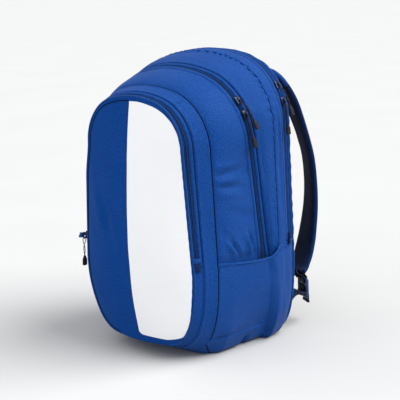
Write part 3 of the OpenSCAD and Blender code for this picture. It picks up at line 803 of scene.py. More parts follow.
def loft_parts(rings):
    """Closed solid through rings of equal count."""
    n, k = len(rings), len(rings[0])
    V = np.concatenate([np.asarray(r, float) for r in rings])
    f = [(i * k + j, i * k + (j + 1) % k, (i + 1) * k + (j + 1) % k, (i + 1) * k + j) for i in range(n - 1) for j in range(k)]
    f.append(tuple(range(k - 1, -1, -1)))
    f.append(tuple((n - 1) * k + j for j in range(k)))
    return V, f


def rounded(w, h, r, n=5):
    """Outline of a rounded rectangle, anticlockwise."""
    r = min(r, w / 2 - 1e-3, h / 2 - 1e-3)
    pts = []
    for cx, cy, a0 in ((w / 2 - r, h / 2 - r, 0), (-w / 2 + r, h / 2 - r, 90), (-w / 2 + r, -h / 2 + r, 180), (w / 2 - r, -h / 2 + r, 270)):
        for k in range(n):
            a = math.radians(a0 + 90 * k / (n - 1))
            pts.append((cx + r * math.cos(a), cy + r * math.sin(a)))
    return np.array(pts)


def slab_parts(out2, x0, x1, edge=0.35):
    """Plate across x from a (y, z) outline, with rounded edges."""
    c = out2.mean(0)
    rings = []
    d = x1 - x0
    for x, s in ((x0, edge), (x0 + d * 0.12, edge * 0.3), (x0 + d * 0.3, 0), (x1 - d * 0.3, 0), (x1 - d * 0.12, edge * 0.3), (x1, edge)):
        q = c + (out2 - c) * (1 - s / np.maximum(np.linalg.norm(out2 - c, axis=1), 1e-6))[:, None]
        rings.append(np.column_stack([np.full(len(q), x), q[:, 0], q[:, 1]]))
    return loft_parts(rings)


def seat(parts, key, mats, name):
    """Places parts from a slider's own frame."""
    o, A = SEATS[key]
    mirrored = np.linalg.det(A) < 0
    out = []
    for v, f, m in parts:
        out.append((np.asarray(v) @ A.T + o, [q[::-1] for q in f] if mirrored else f, m))
    return join_parts(name, out, mats)


def turn_parts(v, A, o=(0, 0, 0)):
    return np.asarray(v) @ np.asarray(A).T + np.array(o, float)


def slider_parts(turn):
    A = rz(math.radians(turn))
    # body plates: wide shoulders at the diamond, waist at the mouth
    shape = np.array([(-2.6, -7), (2.6, -7), (4.6, -5.6), (5, -2), (4.4, 1.5), (5, 5.2), (4.2, 7), (1.2, 7), (0, 5.4), (-1.2, 7), (-4.2, 7), (-5, 5.2), (-4.4, 1.5), (-5, -2), (-4.6, -5.6)])
    v1, f1 = slab_parts(shape, 3.0, 4.7, 0.5)
    v2, f2 = slab_parts(shape, -5.6, -4.2, 0.5)
    v3, f3 = slab_parts(rounded(0.8, 3.6, 0.3) + np.array([0, 4.2]), -5.0, 3.4, 0.1)
    a = np.linspace(-math.pi / 2, math.pi / 2, 13)
    crown = np.column_stack([4.4 + 3.4 * np.cos(a), 0 * a, 3.6 * np.sin(a)])
    v4, f4 = tube_parts(crown, 0.95 + 0.25 * np.cos(a), (0, 1, 0), 10, False, 1.25)
    return [(v1 @ A.T, f1, 0), (v2 @ A.T, f2, 0), (v3, f3, 0), (v4, f4, 0)]


def end_parts(p, tilt):
    """Moulded pull end: gathered neck, ribbed grip, rounded foot."""
    A = ry(math.radians(tilt))
    rings = []
    for z, w, d in ((0, 3.0, 2.6), (-0.6, 4.2, 3.3), (-2.6, 4.8, 3.6), (-3.6, 5.6, 3.8), (-5.4, 7.4, 4.2), (-7, 8.0, 4.4), (-7.5, 7.4, 3.9), (-8.1, 8.0, 4.4),
                    (-9.6, 8.0, 4.4), (-10.1, 7.4, 3.9), (-10.7, 8.0, 4.4), (-12.2, 8.0, 4.4), (-12.7, 7.4, 3.9), (-13.3, 8.0, 4.4), (-15.2, 7.8, 4.3), (-15.8, 7.2, 3.8), (-16, 6.2, 3.0)):
        q = rounded(d * 1.12, w * 1.12, min(d, w) * 0.45, 4)
        rings.append(np.column_stack([q[:, 0], q[:, 1], np.full(len(q), z * 1.06)])[::-1])
    v, f = loft_parts(rings)
    return v @ A.T + np.array(p, float), f


cords = []
for key, route in HANG.items():
    o, A = SEATS[key]
    local = smooth_path(route, 6)
    P = local @ A.T + o
    # two strands laid together
    T = frames(P, False)
    side = np.array([0.0, 1, 0]) @ A.T
    Nn = np.cross(T, side)
    s = np.concatenate([[0], np.cumsum(np.linalg.norm(np.diff(P, axis=0), axis=1))])
    tw = s / (40 if key == "front" else 17) * 2 * math.pi + 0.4
    strands = []
    for sg in (1, -1):
        gap = 0.62 + (2.0 * (1 - s / s[-1]) ** 1.3 if key == "front" else 0.9 * (1 - s / s[-1]) ** 2)
        C = P + sg * gap[:, None] * (side[None] * np.cos(tw)[:, None] + Nn * np.sin(tw)[:, None])
        v, f = tube_parts(C, 0.68, side, 8)
        strands.append((v, f, 0))
    cord = join_parts("cord_" + key + "_strands", strands, [BRAID])
    parts = []
    if key == "front":
        v, f = end_parts([13, 0, -40.5], 0)
        parts.append((v, f, 0))
        # cloth tab from the slider to the cord's eye
        tab = []
        for k in range(15):
            t = k / 14
            w = mix(5.0, 9.4, step(0.0, 0.4, t))
            d = mix(3.0, 2.5, t) * (1 - 0.45 * step(0.86, 1, t))
            q = rounded(d, w, d * 0.45, 4)
            tw = math.radians(62) * step(0.1, 0.7, t)
            c = np.array([mix(6.6, 25.4, t), 0, mix(-0.8, -5.6, t) - 0.7 * math.sin(math.pi * t)])
            n = np.array([math.sin(math.radians(14)), 0, math.cos(math.radians(14))])
            u = np.array([0, 1.0, 0]) * math.cos(tw) + n * math.sin(tw)
            n = n * math.cos(tw) - np.array([0, 1.0, 0]) * math.sin(tw)
            x = np.array([1.0, 0, 0]) * (0.16 * q[:, 1:]) * step(0.5, 1, t)
            tab.append(c + q[:, :1] * n + q[:, 1:] * u - x)
        v, f = loft_parts(tab)
        parts.append((v, f, 1))
        a = np.linspace(0, 2 * math.pi, 25)[:-1]
        for x0 in (10.6, 13.4):
            ring = np.column_stack([x0 + 0.6 * np.sin(a), 4.6 * np.cos(a), -3.4 + 4.3 * np.sin(a)])
            v, f = tube_parts(ring, 1.0, (1, 0, 0), 8, True)
            parts.append((v, f, 0))
        a = np.linspace(0, 2 * math.pi, 17)[:-1]
        eye = np.column_stack([13 + 0.5 * np.cos(a), 2.2 * np.cos(a), -8.2 + 1.7 * np.sin(a)])
        v, f = tube_parts(eye, 0.7, (1, 0, 0), 8, True)
        parts.append((v, f, 2))
    else:
        p = route[-1]
        v, f = end_parts([p[0], p[1], p[2] - 0.1], 10)
        parts.append((v, f, 0))
        # eye of cord through the crown
        a = np.linspace(0, 2 * math.pi, 17)[:-1]
        y0 = route[0][1]
        eye = np.column_stack([6.6 + 1.5 * np.cos(a), y0 * 0.5 + 0.9 * np.sin(a), -2.3 + 3.2 * np.sin(a)])
        v, f = tube_parts(eye, 0.68, (0, 1, 0), 8, True)
        parts.append((v, f, 2))
    pull = seat(parts, key, [RUBBER, BLUE_EDGE, BRAID], "pull_" + key + "_grip")
    attach(cord, "pull_" + key, ["cord_" + key])
    attach(pull, "pull_" + key, ["pull_end_" + key])
    body = seat(slider_parts(-24 if key == "front" else 0), key, [ENAMEL], "slider_" + key + "_body")
    attach(body, "slide_" + key, ["slider_" + key])

# ------------------------------------------------------------------ gussets
FULL = full_rows()
edge_win = lambda D, tot, w=14.0: step(0, w, np.minimum(D, tot - D))


def tuck(Q):
    """Depth of the wall behind a side pocket."""
    z = Q[..., 2]
    return -3.3 * (1 - step(160, 176, z)) * step(8, 30, z)


def d_front(Q, N, D, tot):
    f = D / tot
    z = Q[..., 2]
    up = step(60, 200, z)
    d = (2.8 * 4 * f * (1 - f) + 5.4 * (1 - np.exp(-D / 13)) * (1 - f)) * up + rumple(Q, 3) * edge_win(D, tot) * (0.4 + 0.6 * up)
    # short creases across the side, folds above the pocket, puckers below the zip at the crown
    w = edge_win(D, tot, 10)
    side = step(60, 110, np.abs(Q[..., 0]))
    for c, dr, a, b, h in (
        ((145, -66, 318), (0, 1, 0.05), 26, 5.5, 2.2), ((145, -58, 306), (0, 1, 0.12), 30, 4.5, -2.6), ((145, -60, 294), (0, 1, 0.0), 30, 5.5, 2.6),
        ((145, -56, 283), (0, 1, -0.1), 26, 4.5, -2.4), ((145, -54, 270), (0, 1, -0.16), 24, 6.0, 1.8), ((146, -20, 300), (0, 1, 0.3), 26, 8.0, -1.6),
        ((143, -57, 182), (0, 0.62, -0.78), 18, 4.4, 4.6), ((143, -49, 184), (0, 0.55, -0.84), 18, 4.0, -4.2), ((144, -38, 180), (0, 0.55, -0.83), 15, 5.0, 2.2),
        ((145, -16, 184), (0, 0.42, -0.91), 17, 4.2, 4.6), ((145, -8, 186), (0, 0.36, -0.93), 17, 4.0, -4.0), ((142, -70, 200), (0, 0.3, -0.95), 26, 7.0, -1.8),
        ((146, -30, 236), (0, 0.9, -0.35), 34, 9.0, -1.1), ((146, -34, 250), (0, 0.9, -0.3), 34, 9.0, 1.0),
    ):
        d = d + side_ridge(Q, c, dr, a, b, h) * w
        m = (-c[0], c[1] + 9, c[2] + 14)
        d = d + side_ridge(Q, m, dr, a * 0.9, b, h * 0.8) * w
    top = step(380, 430, z)
    d = d + top * 1.6 * vnoise(Q / np.array([17, 40, 17]), 21) * np.exp(-(tot - D) / 16) * w
    d = d + top * 1.1 * vnoise(Q / np.array([21, 40, 21]), 22) * np.exp(-D / 14) * w
    return d + tuck(Q) * side


def d_pocket_gusset(Q, N, D, tot):
    f = D / tot
    return 0.9 * 4 * f * (1 - f) + 0.55 * rumple(Q, 5) * edge_win(D, tot, 6) + 0.35 * vnoise(Q / 16, 6) * edge_win(D, tot, 6)


def ruffle(Q, D_from_seam, tot):
    """Gathers beside the middle seam, strongest over the crown."""
    s = np.arctan2(Q[..., 2] - 330, Q[..., 0]) * 165
    top = 0.28 + 0.72 * step(330, 420, Q[..., 2])
    ph = 2.2 * vnoise(Q / 45, 31)
    g = np.sin(2 * math.pi * s / 13.5 + ph * 2.5) * (0.65 + 0.5 * vnoise(Q / 30, 32))
    return 3.0 * top * g * np.exp(-D_from_seam / 10.0)


def d_mid_a(Q, N, D, tot):
    f = D / tot
    z = Q[..., 2]
    up = step(60, 220, z)
    d = (2.2 * 4 * f * (1 - f) + 2.0 * (1 - np.exp(-D / 9)) * (1 - f)) * up + rumple(Q, 9) * edge_win(D, tot) * (0.4 + 0.6 * up)
    d = d + ruffle(Q, tot - D, tot) * step(0, 2.5, tot - D) * up
    w = edge_win(D, tot, 8)
    for c, dr, a, b, h in (((156, 18, 300), (0, 0.25, -0.97), 60, 6.0, -1.0), ((156, 26, 250), (0, 0.12, -0.99), 50, 7.0, 1.0), ((150, 6, 392), (0, 1, 0.1), 24, 8.0, 0.9)):
        d = d + (side_ridge(Q, c, dr, a, b, h) + side_ridge(Q, (-c[0], c[1], c[2] - 20), dr, a, b, h)) * w
    return d + tuck(Q) * step(60, 110, np.abs(Q[..., 0]))


def d_mid_b(Q, N, D, tot):
    f = D / tot
    z = Q[..., 2]
    up = step(60, 220, z)
    d = 1.6 * 4 * f * (1 - f) * up + 0.8 * rumple(Q, 11) * edge_win(D, tot, 9) * (0.4 + 0.6 * up)
    d = d + ruffle(Q, D, tot) * step(0, 2.5, D) * up
    w = edge_win(D, tot, 6)
    for c, dr, a, b, h in (((157, 57, 365), (0, 0.08, -1), 34, 3.6, -1.8), ((158, 64, 335), (0, 0.03, -1), 44, 4.0, 1.7), ((159, 58, 290), (0, 0.02, -1), 40, 4.0, -1.4), ((158, 66, 240), (0, 0, 1), 40, 4.0, 1.3)):
        d = d + (side_ridge(Q, c, dr, a, b, h) + side_ridge(Q, (-c[0], c[1], c[2] + 12), dr, a, b, h)) * w
    d = d + 0.5 * up * np.sin(2 * math.pi * z / 16 + 3 * vnoise(Q / 40, 33)) * np.exp(-(tot - D) / 6) * step(0, 3, tot - D)
    return d + tuck(Q) * step(60, 110, np.abs(Q[..., 0]))


def d_rear(Q, N, D, tot):
    z = Q[..., 2]
    g = (0.7 * np.sin(2 * math.pi * z / 21 + 6 * vnoise(Q / 40, 41)) + 0.5 * vnoise(Q / 13, 42)) * step(0, 6, D)
    return 0.7 * 4 * (D / tot) * (1 - D / tot) + g + tuck(Q) * step(60, 110, np.abs(Q[..., 0]))


ga = band("pocket_gusset_cloth", [nF(16.2), nF(26), FM], FULL, gusset_cols(GROOVE, LIP, 7), [BLUE, LINING], True, d_pocket_gusset)
attach(ga, ZA, ["pocket_gusset", "pocket_wall_lower"])
LOWF = low_rows(169)
gb = band("pocket_wall_cloth", [nF(1.2), nF(10), nF(20)], LOWF, gusset_cols(PLAIN, PLAIN, 4, 2.0), [BLUE, LINING], False, lambda Q, N, D, t: 0.4 * rumple(Q, 6), -1.0)
attach(gb, ZA, ["pocket_wall_lower"])
gc = band("front_gusset_cloth", [FM, fm(0.12), fm(0.25), fm(0.5), fm(0.75), nM(-5.0)], FULL, gusset_cols(VALLEY, HEM7, 30), [BLUE, LINING], True, d_front, 0.0, 6.0, 9.0)
attach(gc, ZA, ["front_gusset", "main_wall_lower"])
gd = band("mid_gusset_cloth_front", [nM(10.8), mix(M, MR, 0.55), MR], FULL, gusset_cols(GROOVE, SEAM, 20), [BLUE, LINING], True, d_mid_a)
attach(gd, "root", ["mid_gusset", "main_wall_lower"])
ge = band("mid_gusset_cloth_rear", [MR, mix(MR, R, 0.4), nR(-4.6)], FULL, gusset_cols(SEAM, HEM7, 10), [BLUE, LINING], True, d_mid_b, 0.0, 6.0, 9.0)
attach(ge, "root", ["mid_gusset", "rear_wall_lower"])
gf = band("rear_gusset_cloth", [nR(8.4), nR(11.2), B], FULL, gusset_cols(GROOVE[:6], SEAM[:5], 2), [BLUE, LINING], True, d_rear, 0.0, 2.6, 3.2)
attach(gf, "back", ["rear_gusset", "rear_gusset_lower"])
# walls below the zip ends
gg = band("main_wall_cloth", [nM(-9), M, nM(9)], low_rows(146), gusset_cols(PLAIN, PLAIN, 4, 2.0), [BLUE, LINING], False, lambda Q, N, D, t: tuck(Q), -1.2)
attach(gg, "root", ["main_wall_lower"])
gh = band("rear_wall_cloth", [nR(-9), R, nR(9)], low_rows(170), gusset_cols(PLAIN, PLAIN, 6, 2.0), [BLUE, LINING], False, lambda Q, N, D, t: tuck(Q), -1.2)
attach(gh, ZR, ["rear_wall_lower", "rear_gusset_lower"])

# ------------------------------------------------------------------ zips
def tape(name, sa, sb, rows, how, node, lift=-1.35):
    cols = [("s", 0.0, -0.35, 0), ("s", 0.4, 0.0, 0), ("f", 0.5, 0.0, 0), ("e", 0.4, 0.0, 0), ("e", 0.0, -0.35, 0), ("e", 0.3, -0.8, 0), ("s", 0.3, -0.8, 0)]
    t = band(name, [sa, mix(sa, sb, 0.5), sb], rows, cols, [TAPE], False, None, lift)
    return attach(t, how, [node])


def teeth(name, s_edge, toward, rows, how, phase, lift=-1.35, pitch=2.0):
    """Coil half along a tape's inner edge: a cord and its interlocking loops."""
    P, N, _ = on_band([s_edge, s_edge], rows)
    P, N = P[:, 0] + N[:, 0] * (lift + 0.55), N[:, 0]
    L = np.concatenate([[0], np.cumsum(np.linalg.norm(np.diff(P, axis=0), axis=1))])
    k = int((L[-1] - 4) / pitch)
    s = 2 + (np.arange(k) + phase) * pitch
    Q = np.stack([np.interp(s, L, P[:, c]) for c in range(3)], 1)
    W = np.stack([np.interp(s, L, N[:, c]) for c in range(3)], 1)
    A = np.tile(np.array([0.0, toward, 0.0]), (k, 1))
    v, f = lozenges(Q - A * 0.1, A, W, 1.2, 0.62, 0.6)
    parts = [(v, f, 0)]
    v, f = tube_parts(P - np.array([0, toward, 0]) * 1.15, 0.45, (0, 1, 0), 6)
    parts.append((v, f, 0))
    t = join_parts(name, parts, [COIL])
    return attach(t, how)


ZF = arch_rows(164.0)
HEM_COLS = [("s", 0.0, -1.2, 0), ("s", 0.3, -0.2, 0), ("s", 0.9, 0.6, 0), ("s", 1.7, 1.05, 0), ("e", 1.7, 1.2, 0), ("e", 0.7, 1.0, 0), ("e", 0.1, 0.3, 0), ("e", 0.0, -1.0, 0), ("e", 0.8, -2.0, 0), ("s", 0.8, -1.8, 0)]
ZM = arch_rows(138.0, nl=80)
ZRR = arch_rows(168.0)
tape("zip_front_tape_front", nF(1.2), nF(4.7), ZF, ZB, "zip_front_front_tape")
tape("zip_front_tape_rear", nF(6.3), nF(16.8), ZF, ZA, "zip_front_rear_tape")
teeth("zip_front_coil_front", nF(4.7), 1, ZF, ZB, 0.0)
teeth("zip_front_coil_rear", nF(6.3), -1, ZF, ZA, 0.5)
tape("zip_main_tape_front", nM(-8.6), nM(-0.8), ZM, ZA, "zip_main_front_tape")
tape("zip_main_tape_rear", nM(0.8), nM(11.6), ZM, "root", "zip_main_rear_tape")
teeth("zip_main_coil_front", nM(-0.8), 1, ZM, ZA, 0.0)
teeth("zip_main_coil_rear", nM(0.8), -1, ZM, "root", 0.5)
tape("zip_rear_tape_front", nR(-8.6), nR(-0.8), ZRR, "root", "zip_rear_front_tape")
tape("zip_rear_tape_back", nR(0.8), nR(9.2), ZRR, "back", "zip_rear_back_tape")
teeth("zip_rear_coil_front", nR(-0.8), 1, ZRR, "root", 0.0)
teeth("zip_rear_coil_back", nR(0.8), -1, ZRR, "back", 0.5)
# cloth welts laid along the rear tape of each zip
for nm, sa, sb, rows, how in (("front", nF(9.4), nF(14.5), ZF, ZA), ("main", nM(3.7), nM(9.0), ZM, "root"), ("rear", nR(2.9), nR(6.7), ZRR, "back")):
    wl = band("zip_welt_" + nm, [sa, mix(sa, sb, 0.5), sb], rows, HEM_COLS, [BLUE], False, lambda Q, N, D, t: 0.25 * vnoise(Q / 18, 14), -0.2)
    attach(wl, how)


# ------------------------------------------------------------------ front panel
def bulge(z):
    z = np.asarray(z, float)
    return 22 * np.where(z > 165, 1 - ((z - 165) / 266) ** 2, 1 - ((165 - z) / 185) ** 2)


def z_of(t):
    q = outline(F, [(1, t, 1, 0)])[0]
    return q[1]


lo_t, hi_t = 0.5, 1.0
for _ in range(50):
    mt = (lo_t + hi_t) / 2
    lo_t, hi_t = (mt, hi_t) if z_of(mt) < 130 else (lo_t, mt)
SPLIT_T = (lo_t + hi_t) / 2
P_ROWS = [(1, t, 1, 0) for t in np.linspace(0, SPLIT_T, 40)] + [(1, t, 1, 0) for t in np.linspace(SPLIT_T, 1, 9)[1:-1]]
P_ROWS += [(2, k / 60, 1, 150) for k in range(60)] + [(3, k / 40, 1, 0) for k in range(40)] + [(4, t, 1, 0) for t in (np.linspace(0, 1, 34) ** 0.8)[:-1]]
OUT_F = outline(F, P_ROWS)
EDGE_X, EDGE_Z = OUT_F[:, 0], OUT_F[:, 1]


def panel_y(x, z, w):
    """The front face: bowed, with soft dents where the filling is slack."""
    g = np.clip(np.abs(x) / w, 0, 1)
    y = -123 - bulge(z) * (1 - g ** 3)
    P = np.stack([x, 0 * x, z], -1)
    win = step(0, 26, (1 - g) * w) * step(21, 50, z) * (1 - step(395, 428, z))
    d = 1.1 * vnoise(P / 95, 51) + 0.45 * vnoise(P / 38, 52) + 0.12 * vnoise(P / 15, 53)
    d = d + ridge(P, (-52, 0, 224), (0.36, 0, -0.93), 38, 11, -4.2) + ridge(P, (-70, 0, 236), (0.36, 0, -0.93), 40, 13, 2.4) + ridge(P, (-36, 0, 206), (0.3, 0, -0.95), 34, 13, 2.0)
    d = d + ridge(P, (-88, 0, 120), (0.5, 0, -0.87), 40, 16, -1.3) + ridge(P, (60, 0, 96), (0.55, 0, 0.83), 40, 20, -1.2) + ridge(P, (-40, 0, 360), (0.9, 0, 0.4), 46, 22, -1.2)
    e = 0.5 * np.sin(z / 15 * 2 * math.pi + 4 * vnoise(P / 50, 54)) * np.exp(-((1 - g) * w) / 9)
    return y - d * win - e * step(0, 5, (1 - g) * w) + 1.6 * step(0.965, 1.0, g)


NS = 92
gx = np.linspace(-1, 1, NS)
gx = np.sign(gx) * (1 - (1 - np.abs(gx)) ** 1.12)
PX = EDGE_X[:, None] * gx[None]
PZ = np.repeat(EDGE_Z[:, None], NS, 1)
PP = np.stack([PX, panel_y(PX, PZ, np.maximum(EDGE_X, 3)[:, None]), PZ], -1)
PN = grid_normals(PP)
PUV = np.stack([PX, PZ], -1)
cut = 39
pl = sheet("front_panel_cloth_lower", PP, 2.6, [BLUE_PANEL_SHADED, LINING], PN, keep=slice(0, cut + 1), rim="lrb", uv=PUV)
attach(pl, ZA, ["front_panel_lower"])
pu = sheet("front_panel_cloth_upper", PP, 2.6, [BLUE_PANEL_SHADED, LINING], PN, keep=slice(cut, None), rim="lrt", uv=PUV)
attach(pu, ZB, ["front_panel"])

# pale stripe: a coated cloth laid on the right half, inside the edge all round
INS = OUT_F[:, :2] - OUT_F[:, 2:] * (3.2 + 3.4 * step(375, 425, OUT_F[:, 1:2]))
SZ = np.concatenate([np.linspace(36.0, 47.0, 12)[:-1], np.linspace(47, 130, 32), np.linspace(130, 406, 96)[1:], np.linspace(406, 420.5, 10)[1:]])
order = np.argsort(INS[:, 1])
ws = np.interp(SZ, EDGE_Z, EDGE_X)
# the lower right corner runs closer to the panel's edge, then turns tightly into the bottom hem
low = ws - 2.4 - 1.4 * step(60, 110, SZ) - 20 * np.clip(1 - (SZ - 36) / 10, 0, 1) ** 2
sx = mix(low, np.interp(SZ, INS[order, 1], INS[order, 0]), step(110, 160, SZ))
lx = 0.4 + 4.4 * (1 - step(36, 115, SZ)) + 7 * np.clip(1 - (SZ - 36) / 6, 0, 1) ** 2
gs = np.linspace(0, 1, 44)
SX = lx[:, None] + np.maximum(sx - lx, 1.2)[:, None] * gs[None]
SZZ = np.repeat(SZ[:, None], 44, 1)
SP = np.stack([SX, panel_y(SX, SZZ, ws[:, None]) - 0.75, SZZ], -1)
SN = grid_normals(SP)
SUV = np.stack([SX, SZZ], -1)
sc = int(np.argmin(np.abs(SZ - 130)))
sl = sheet("front_stripe_cloth_lower", SP, 0.7, [PALE, PALE], SN, drop=0.65, keep=slice(0, sc + 1), rim="lrb", uv=SUV)
attach(sl, ZA, ["front_stripe_lower"])
su = sheet("front_stripe_cloth_upper", SP, 0.7, [PALE, PALE], SN, drop=0.65, keep=slice(sc, None), rim="lrt", uv=SUV)
attach(su, ZB, ["front_stripe"])


# rolled edge of the front panel, parted where the panel is
def loop_line(s, rows, off=0.0):
    P, N, _ = on_band([s, s], rows)
    return P[:, 0] + N[:, 0] * off, N[:, 0]


LOW130 = flip([(1, t, 1, 0) for t in np.linspace(SPLIT_T, 0, 40)]) + [(0, t, -1, 0) for t in np.linspace(1, 0, 10)[1:]] + [(0, t, 1, 0) for t in np.linspace(0, 1, 10)[1:]] + [(1, t, 1, 0) for t in np.linspace(0, SPLIT_T, 40)[1:]]
UP130 = [(1, t, 1, 0) for t in np.linspace(SPLIT_T, 1, 9)[:-1]] + half_rows(150.0)
UP130 = UP130 + flip(UP130[-2::-1])
for nm, rows, how, node in (("lower", LOW130, ZA, "front_panel_lower"), ("upper", UP130, ZB, "front_panel")):
    P, N = loop_line(nF(0.6), rows, -0.2)
    wob = 0.25 * vnoise(P / 22, 61)
    attach(tube("front_panel_roll_" + nm, P + N * wob[:, None], 2.0, [BLUE_EDGE], N, 10), how, [node])

# sewn line just inside the rolled edge, drawn as a near-black cord: painted shade of its groove
for nm, a0, a1, how in (("lower", 0, 40, ZA), ("upper", 39, len(P_ROWS), ZB)):
    parts = []
    for sg in (-1,):
        e = OUT_F[a0:a1, :2] - OUT_F[a0:a1, 2:] * 6.6
        g = np.maximum(np.interp(e[:, 1], EDGE_Z, EDGE_X), 3)
        ok = e[:, 0] > 2
        P = np.stack([sg * e[:, 0], panel_y(sg * e[:, 0], e[:, 1], g) - 0.1, e[:, 1]], -1)[ok]
        v, f = tube_parts(P, 0.75, (0, -1, 0), 8)
        parts.append((v, f, 0))
    attach(join_parts("front_panel_seam_shade_" + nm, parts, [SEAM_DARK]), how)

# ------------------------------------------------------------------ piping and seams
# the front seam's cord sits sunk in the groove; its near-black colour is painted shade of the groove
P, N = loop_line(FM, FULL, -0.45)
attach(tube("piping_front_shade_cord", P + np.array([0, 0.25, 0]), 1.3, [SEAM_DARK], N, 8, True), ZA, ["piping_front"])
P, N = loop_line(MR, FULL, 0.5)
up = step(120, 220, P[:, 2])
P = P + N * (tuck(P) * step(60, 110, np.abs(P[:, 0])) + 0.4 * up * np.sin(np.arctan2(P[:, 2] - 330, P[:, 0]) * 165 / 13.5 * 2 * math.pi))[:, None]
attach(tube("piping_mid_cord", P, 1.2, [BLUE_EDGE], N, 8, True), "root", ["piping_mid"])
P, N = loop_line(B, FULL, 0.4)
P = P + N * ((0.6 * np.sin(2 * math.pi * P[:, 2] / 21 + 6 * vnoise(P / 40, 41)) + 0.5 * vnoise(P / 13, 42)) * step(60, 140, P[:, 2]))[:, None]
attach(tube("back_edge_piping", P + np.array([0, 0.6, 0]), 2.4, [BLUE_EDGE], N, 8, True), "back", ["rear_gusset"])

# rows of stitching beside the zips and seams
def stitch_line(stations, rows, kind, v, lift, disp=None):
    P, N, L = on_band(stations, rows)
    q, n, d = place(P, N, L, kind, v)
    if disp is not None:
        lift = lift + disp(q[:, None], n[:, None], d[:, None], L[:, -1:])[:, 0]
        return q + n * lift[:, None], n
    return q + n * lift, n


ARCH = arch_rows(176.0)
lines_main = [
    (*stitch_line([nF(12.9), nF(25), FM], FULL, "s", 2.9, 1.05, d_pocket_gusset), True),
]
attach(stitches("stitching_pocket_gusset", lines_main, THREAD), ZA)
lm = [(*stitch_line([FM, fm(0.12), fm(0.25), fm(0.5), fm(0.75), nM(-5.0)], ARCH, "e", 7.15, -0.3, d_front), False)]
attach(stitches("stitching_front_gusset", lm, THREAD_DARK, 3.1, 1.05, 0.6, 0.35), ZA)
lr = [
    (*stitch_line([nM(7.5), mix(M, MR, 0.55), MR], ARCH, "s", 2.6, 1.15, d_mid_a), False),
    (*stitch_line([MR, mix(MR, R, 0.4), nR(-4.6)], ARCH, "e", 7.15, -0.3, d_mid_b), False),
]
attach(stitches("stitching_mid_gusset", lr[:1], THREAD), "root")
attach(stitches("stitching_mid_gusset_rear", lr[1:], THREAD_DARK, 3.1, 1.05, 0.6, 0.35), "root")
lb = [(*stitch_line([nR(6.6), nR(10.5), B], ARCH, "s", 2.2, 1.25, d_rear), False)]
attach(stitches("stitching_rear_gusset", lb, THREAD), "back")

# cross seams on the pocket gusset at each shoulder
for sgn, nm in ((1, "right"), (-1, "left")):
    row = [(3, 0.80, sgn, 0)]
    pts, nr = [], []
    for t in np.linspace(0.14, 0.93, 12):
        o = outline(mix(nF(12.9), FM, t), row)[0]
        s = mix(nF(12.9), FM, t)
        dd = d_pocket_gusset(np.array([[[o[0], yy(s, o[1]), o[1]]]]), None, np.array([[t * 29.0]]), np.array([[29.0]]))[0, 0]
        n = np.array([o[2], 0, o[3]])
        pts.append(np.array([o[0], yy(s, o[1]), o[1]]) + n * (dd + 0.02 + (0.9 if t < 0.12 else 0)))
        nr.append(n)
    attach(tube("cross_seam_" + nm, pts, 0.42, [DEEP], nr, 6), ZA)


# zip end tabs: folded cloth over each zip end
def end_tab(name, stations, z0, z1, mat, how, lift=1.2):
    parts = []
    for sgn in (1, -1):
        rows = [(5, z, sgn, 0) for z in np.linspace(z0, z1, 9)]
        P, N, L = on_band(stations, rows)
        m = 9
        G = np.empty((9, m, 3))
        NN = np.empty((9, m, 3))
        for j in range(m):
            q, n, d = place(P, N, L, "f", j / (m - 1), 0.0, 0.0)
            e = math.sin(math.pi * j / (m - 1)) ** 0.4
            tt = np.sin(np.pi * np.linspace(0.06, 0.94, 9)) ** 0.35
            G[:, j] = q + n * (lift + 1.5 * e * tt)[:, None]
            NN[:, j] = q + n * (lift - 1.2)
        k = 9 * m
        idx = np.arange(k).reshape(9, m)
        V = np.concatenate([G.reshape(-1, 3), NN.reshape(-1, 3)])
        f = [(idx[i, j], idx[i, j + 1], idx[i + 1, j + 1], idx[i + 1, j]) for i in range(8) for j in range(m - 1)]
        f += [tuple(k + x for x in q[::-1]) for q in f]
        border = list(idx[0, :]) + list(idx[1:, -1]) + list(idx[-1, -2::-1]) + list(idx[-2:0:-1, 0])
        f += [(b, a, a + k, b + k) for a, b in zip(border, border[1:] + border[:1])]
        if sgn < 0:
            f = [q[::-1] for q in f]
            f = [q[::-1] for q in f]
        parts.append((V, f, 0))
    return attach(join_parts(name, parts, [mat]), how, ["zip_end_tabs"])


end_tab("zip_end_tab_front", [nF(-0.6), nF(4.8), nF(10.4)], 156, 172, DEEP, "root", 1.3)
end_tab("zip_end_fold_front", [nF(-1.0), nF(4.8), nF(10.9)], 170.5, 177.5, BLUE_EDGE, "root", 2.1)
end_tab("zip_end_tab_rear", [nR(-7.8), nR(-3.4), nR(1.4)], 165, 184, SEAM_DARK, "root", 2.0)

# ------------------------------------------------------------------ side pockets
def pk_sta(k):
    if k < 0.33:
        return fm(k / 0.33)
    if k < 0.66:
        return mix(M, MR, (k - 0.33) / 0.33)
    if k < 1:
        return mix(MR, R, (k - 0.66) / 0.34)
    return mix(R, B, min(1.0, (k - 1) / 0.14))


def pk_top(k):
    return 163 - 10 * math.sin(math.pi * min(1, k / 0.62)) + k + 5.0 * step(0.58, 0.72, k)


def gape(k, z):
    return 11 * math.sin(math.pi * min(1, k / 0.66)) * np.clip((z - 40) / 110, 0, 1)


KS = np.concatenate([np.linspace(0.0, 0.33, 34), np.linspace(0.33, 0.66, 22)[1:], np.linspace(0.66, 1.0, 14)[1:], np.linspace(1.0, 1.13, 7)[1:]])


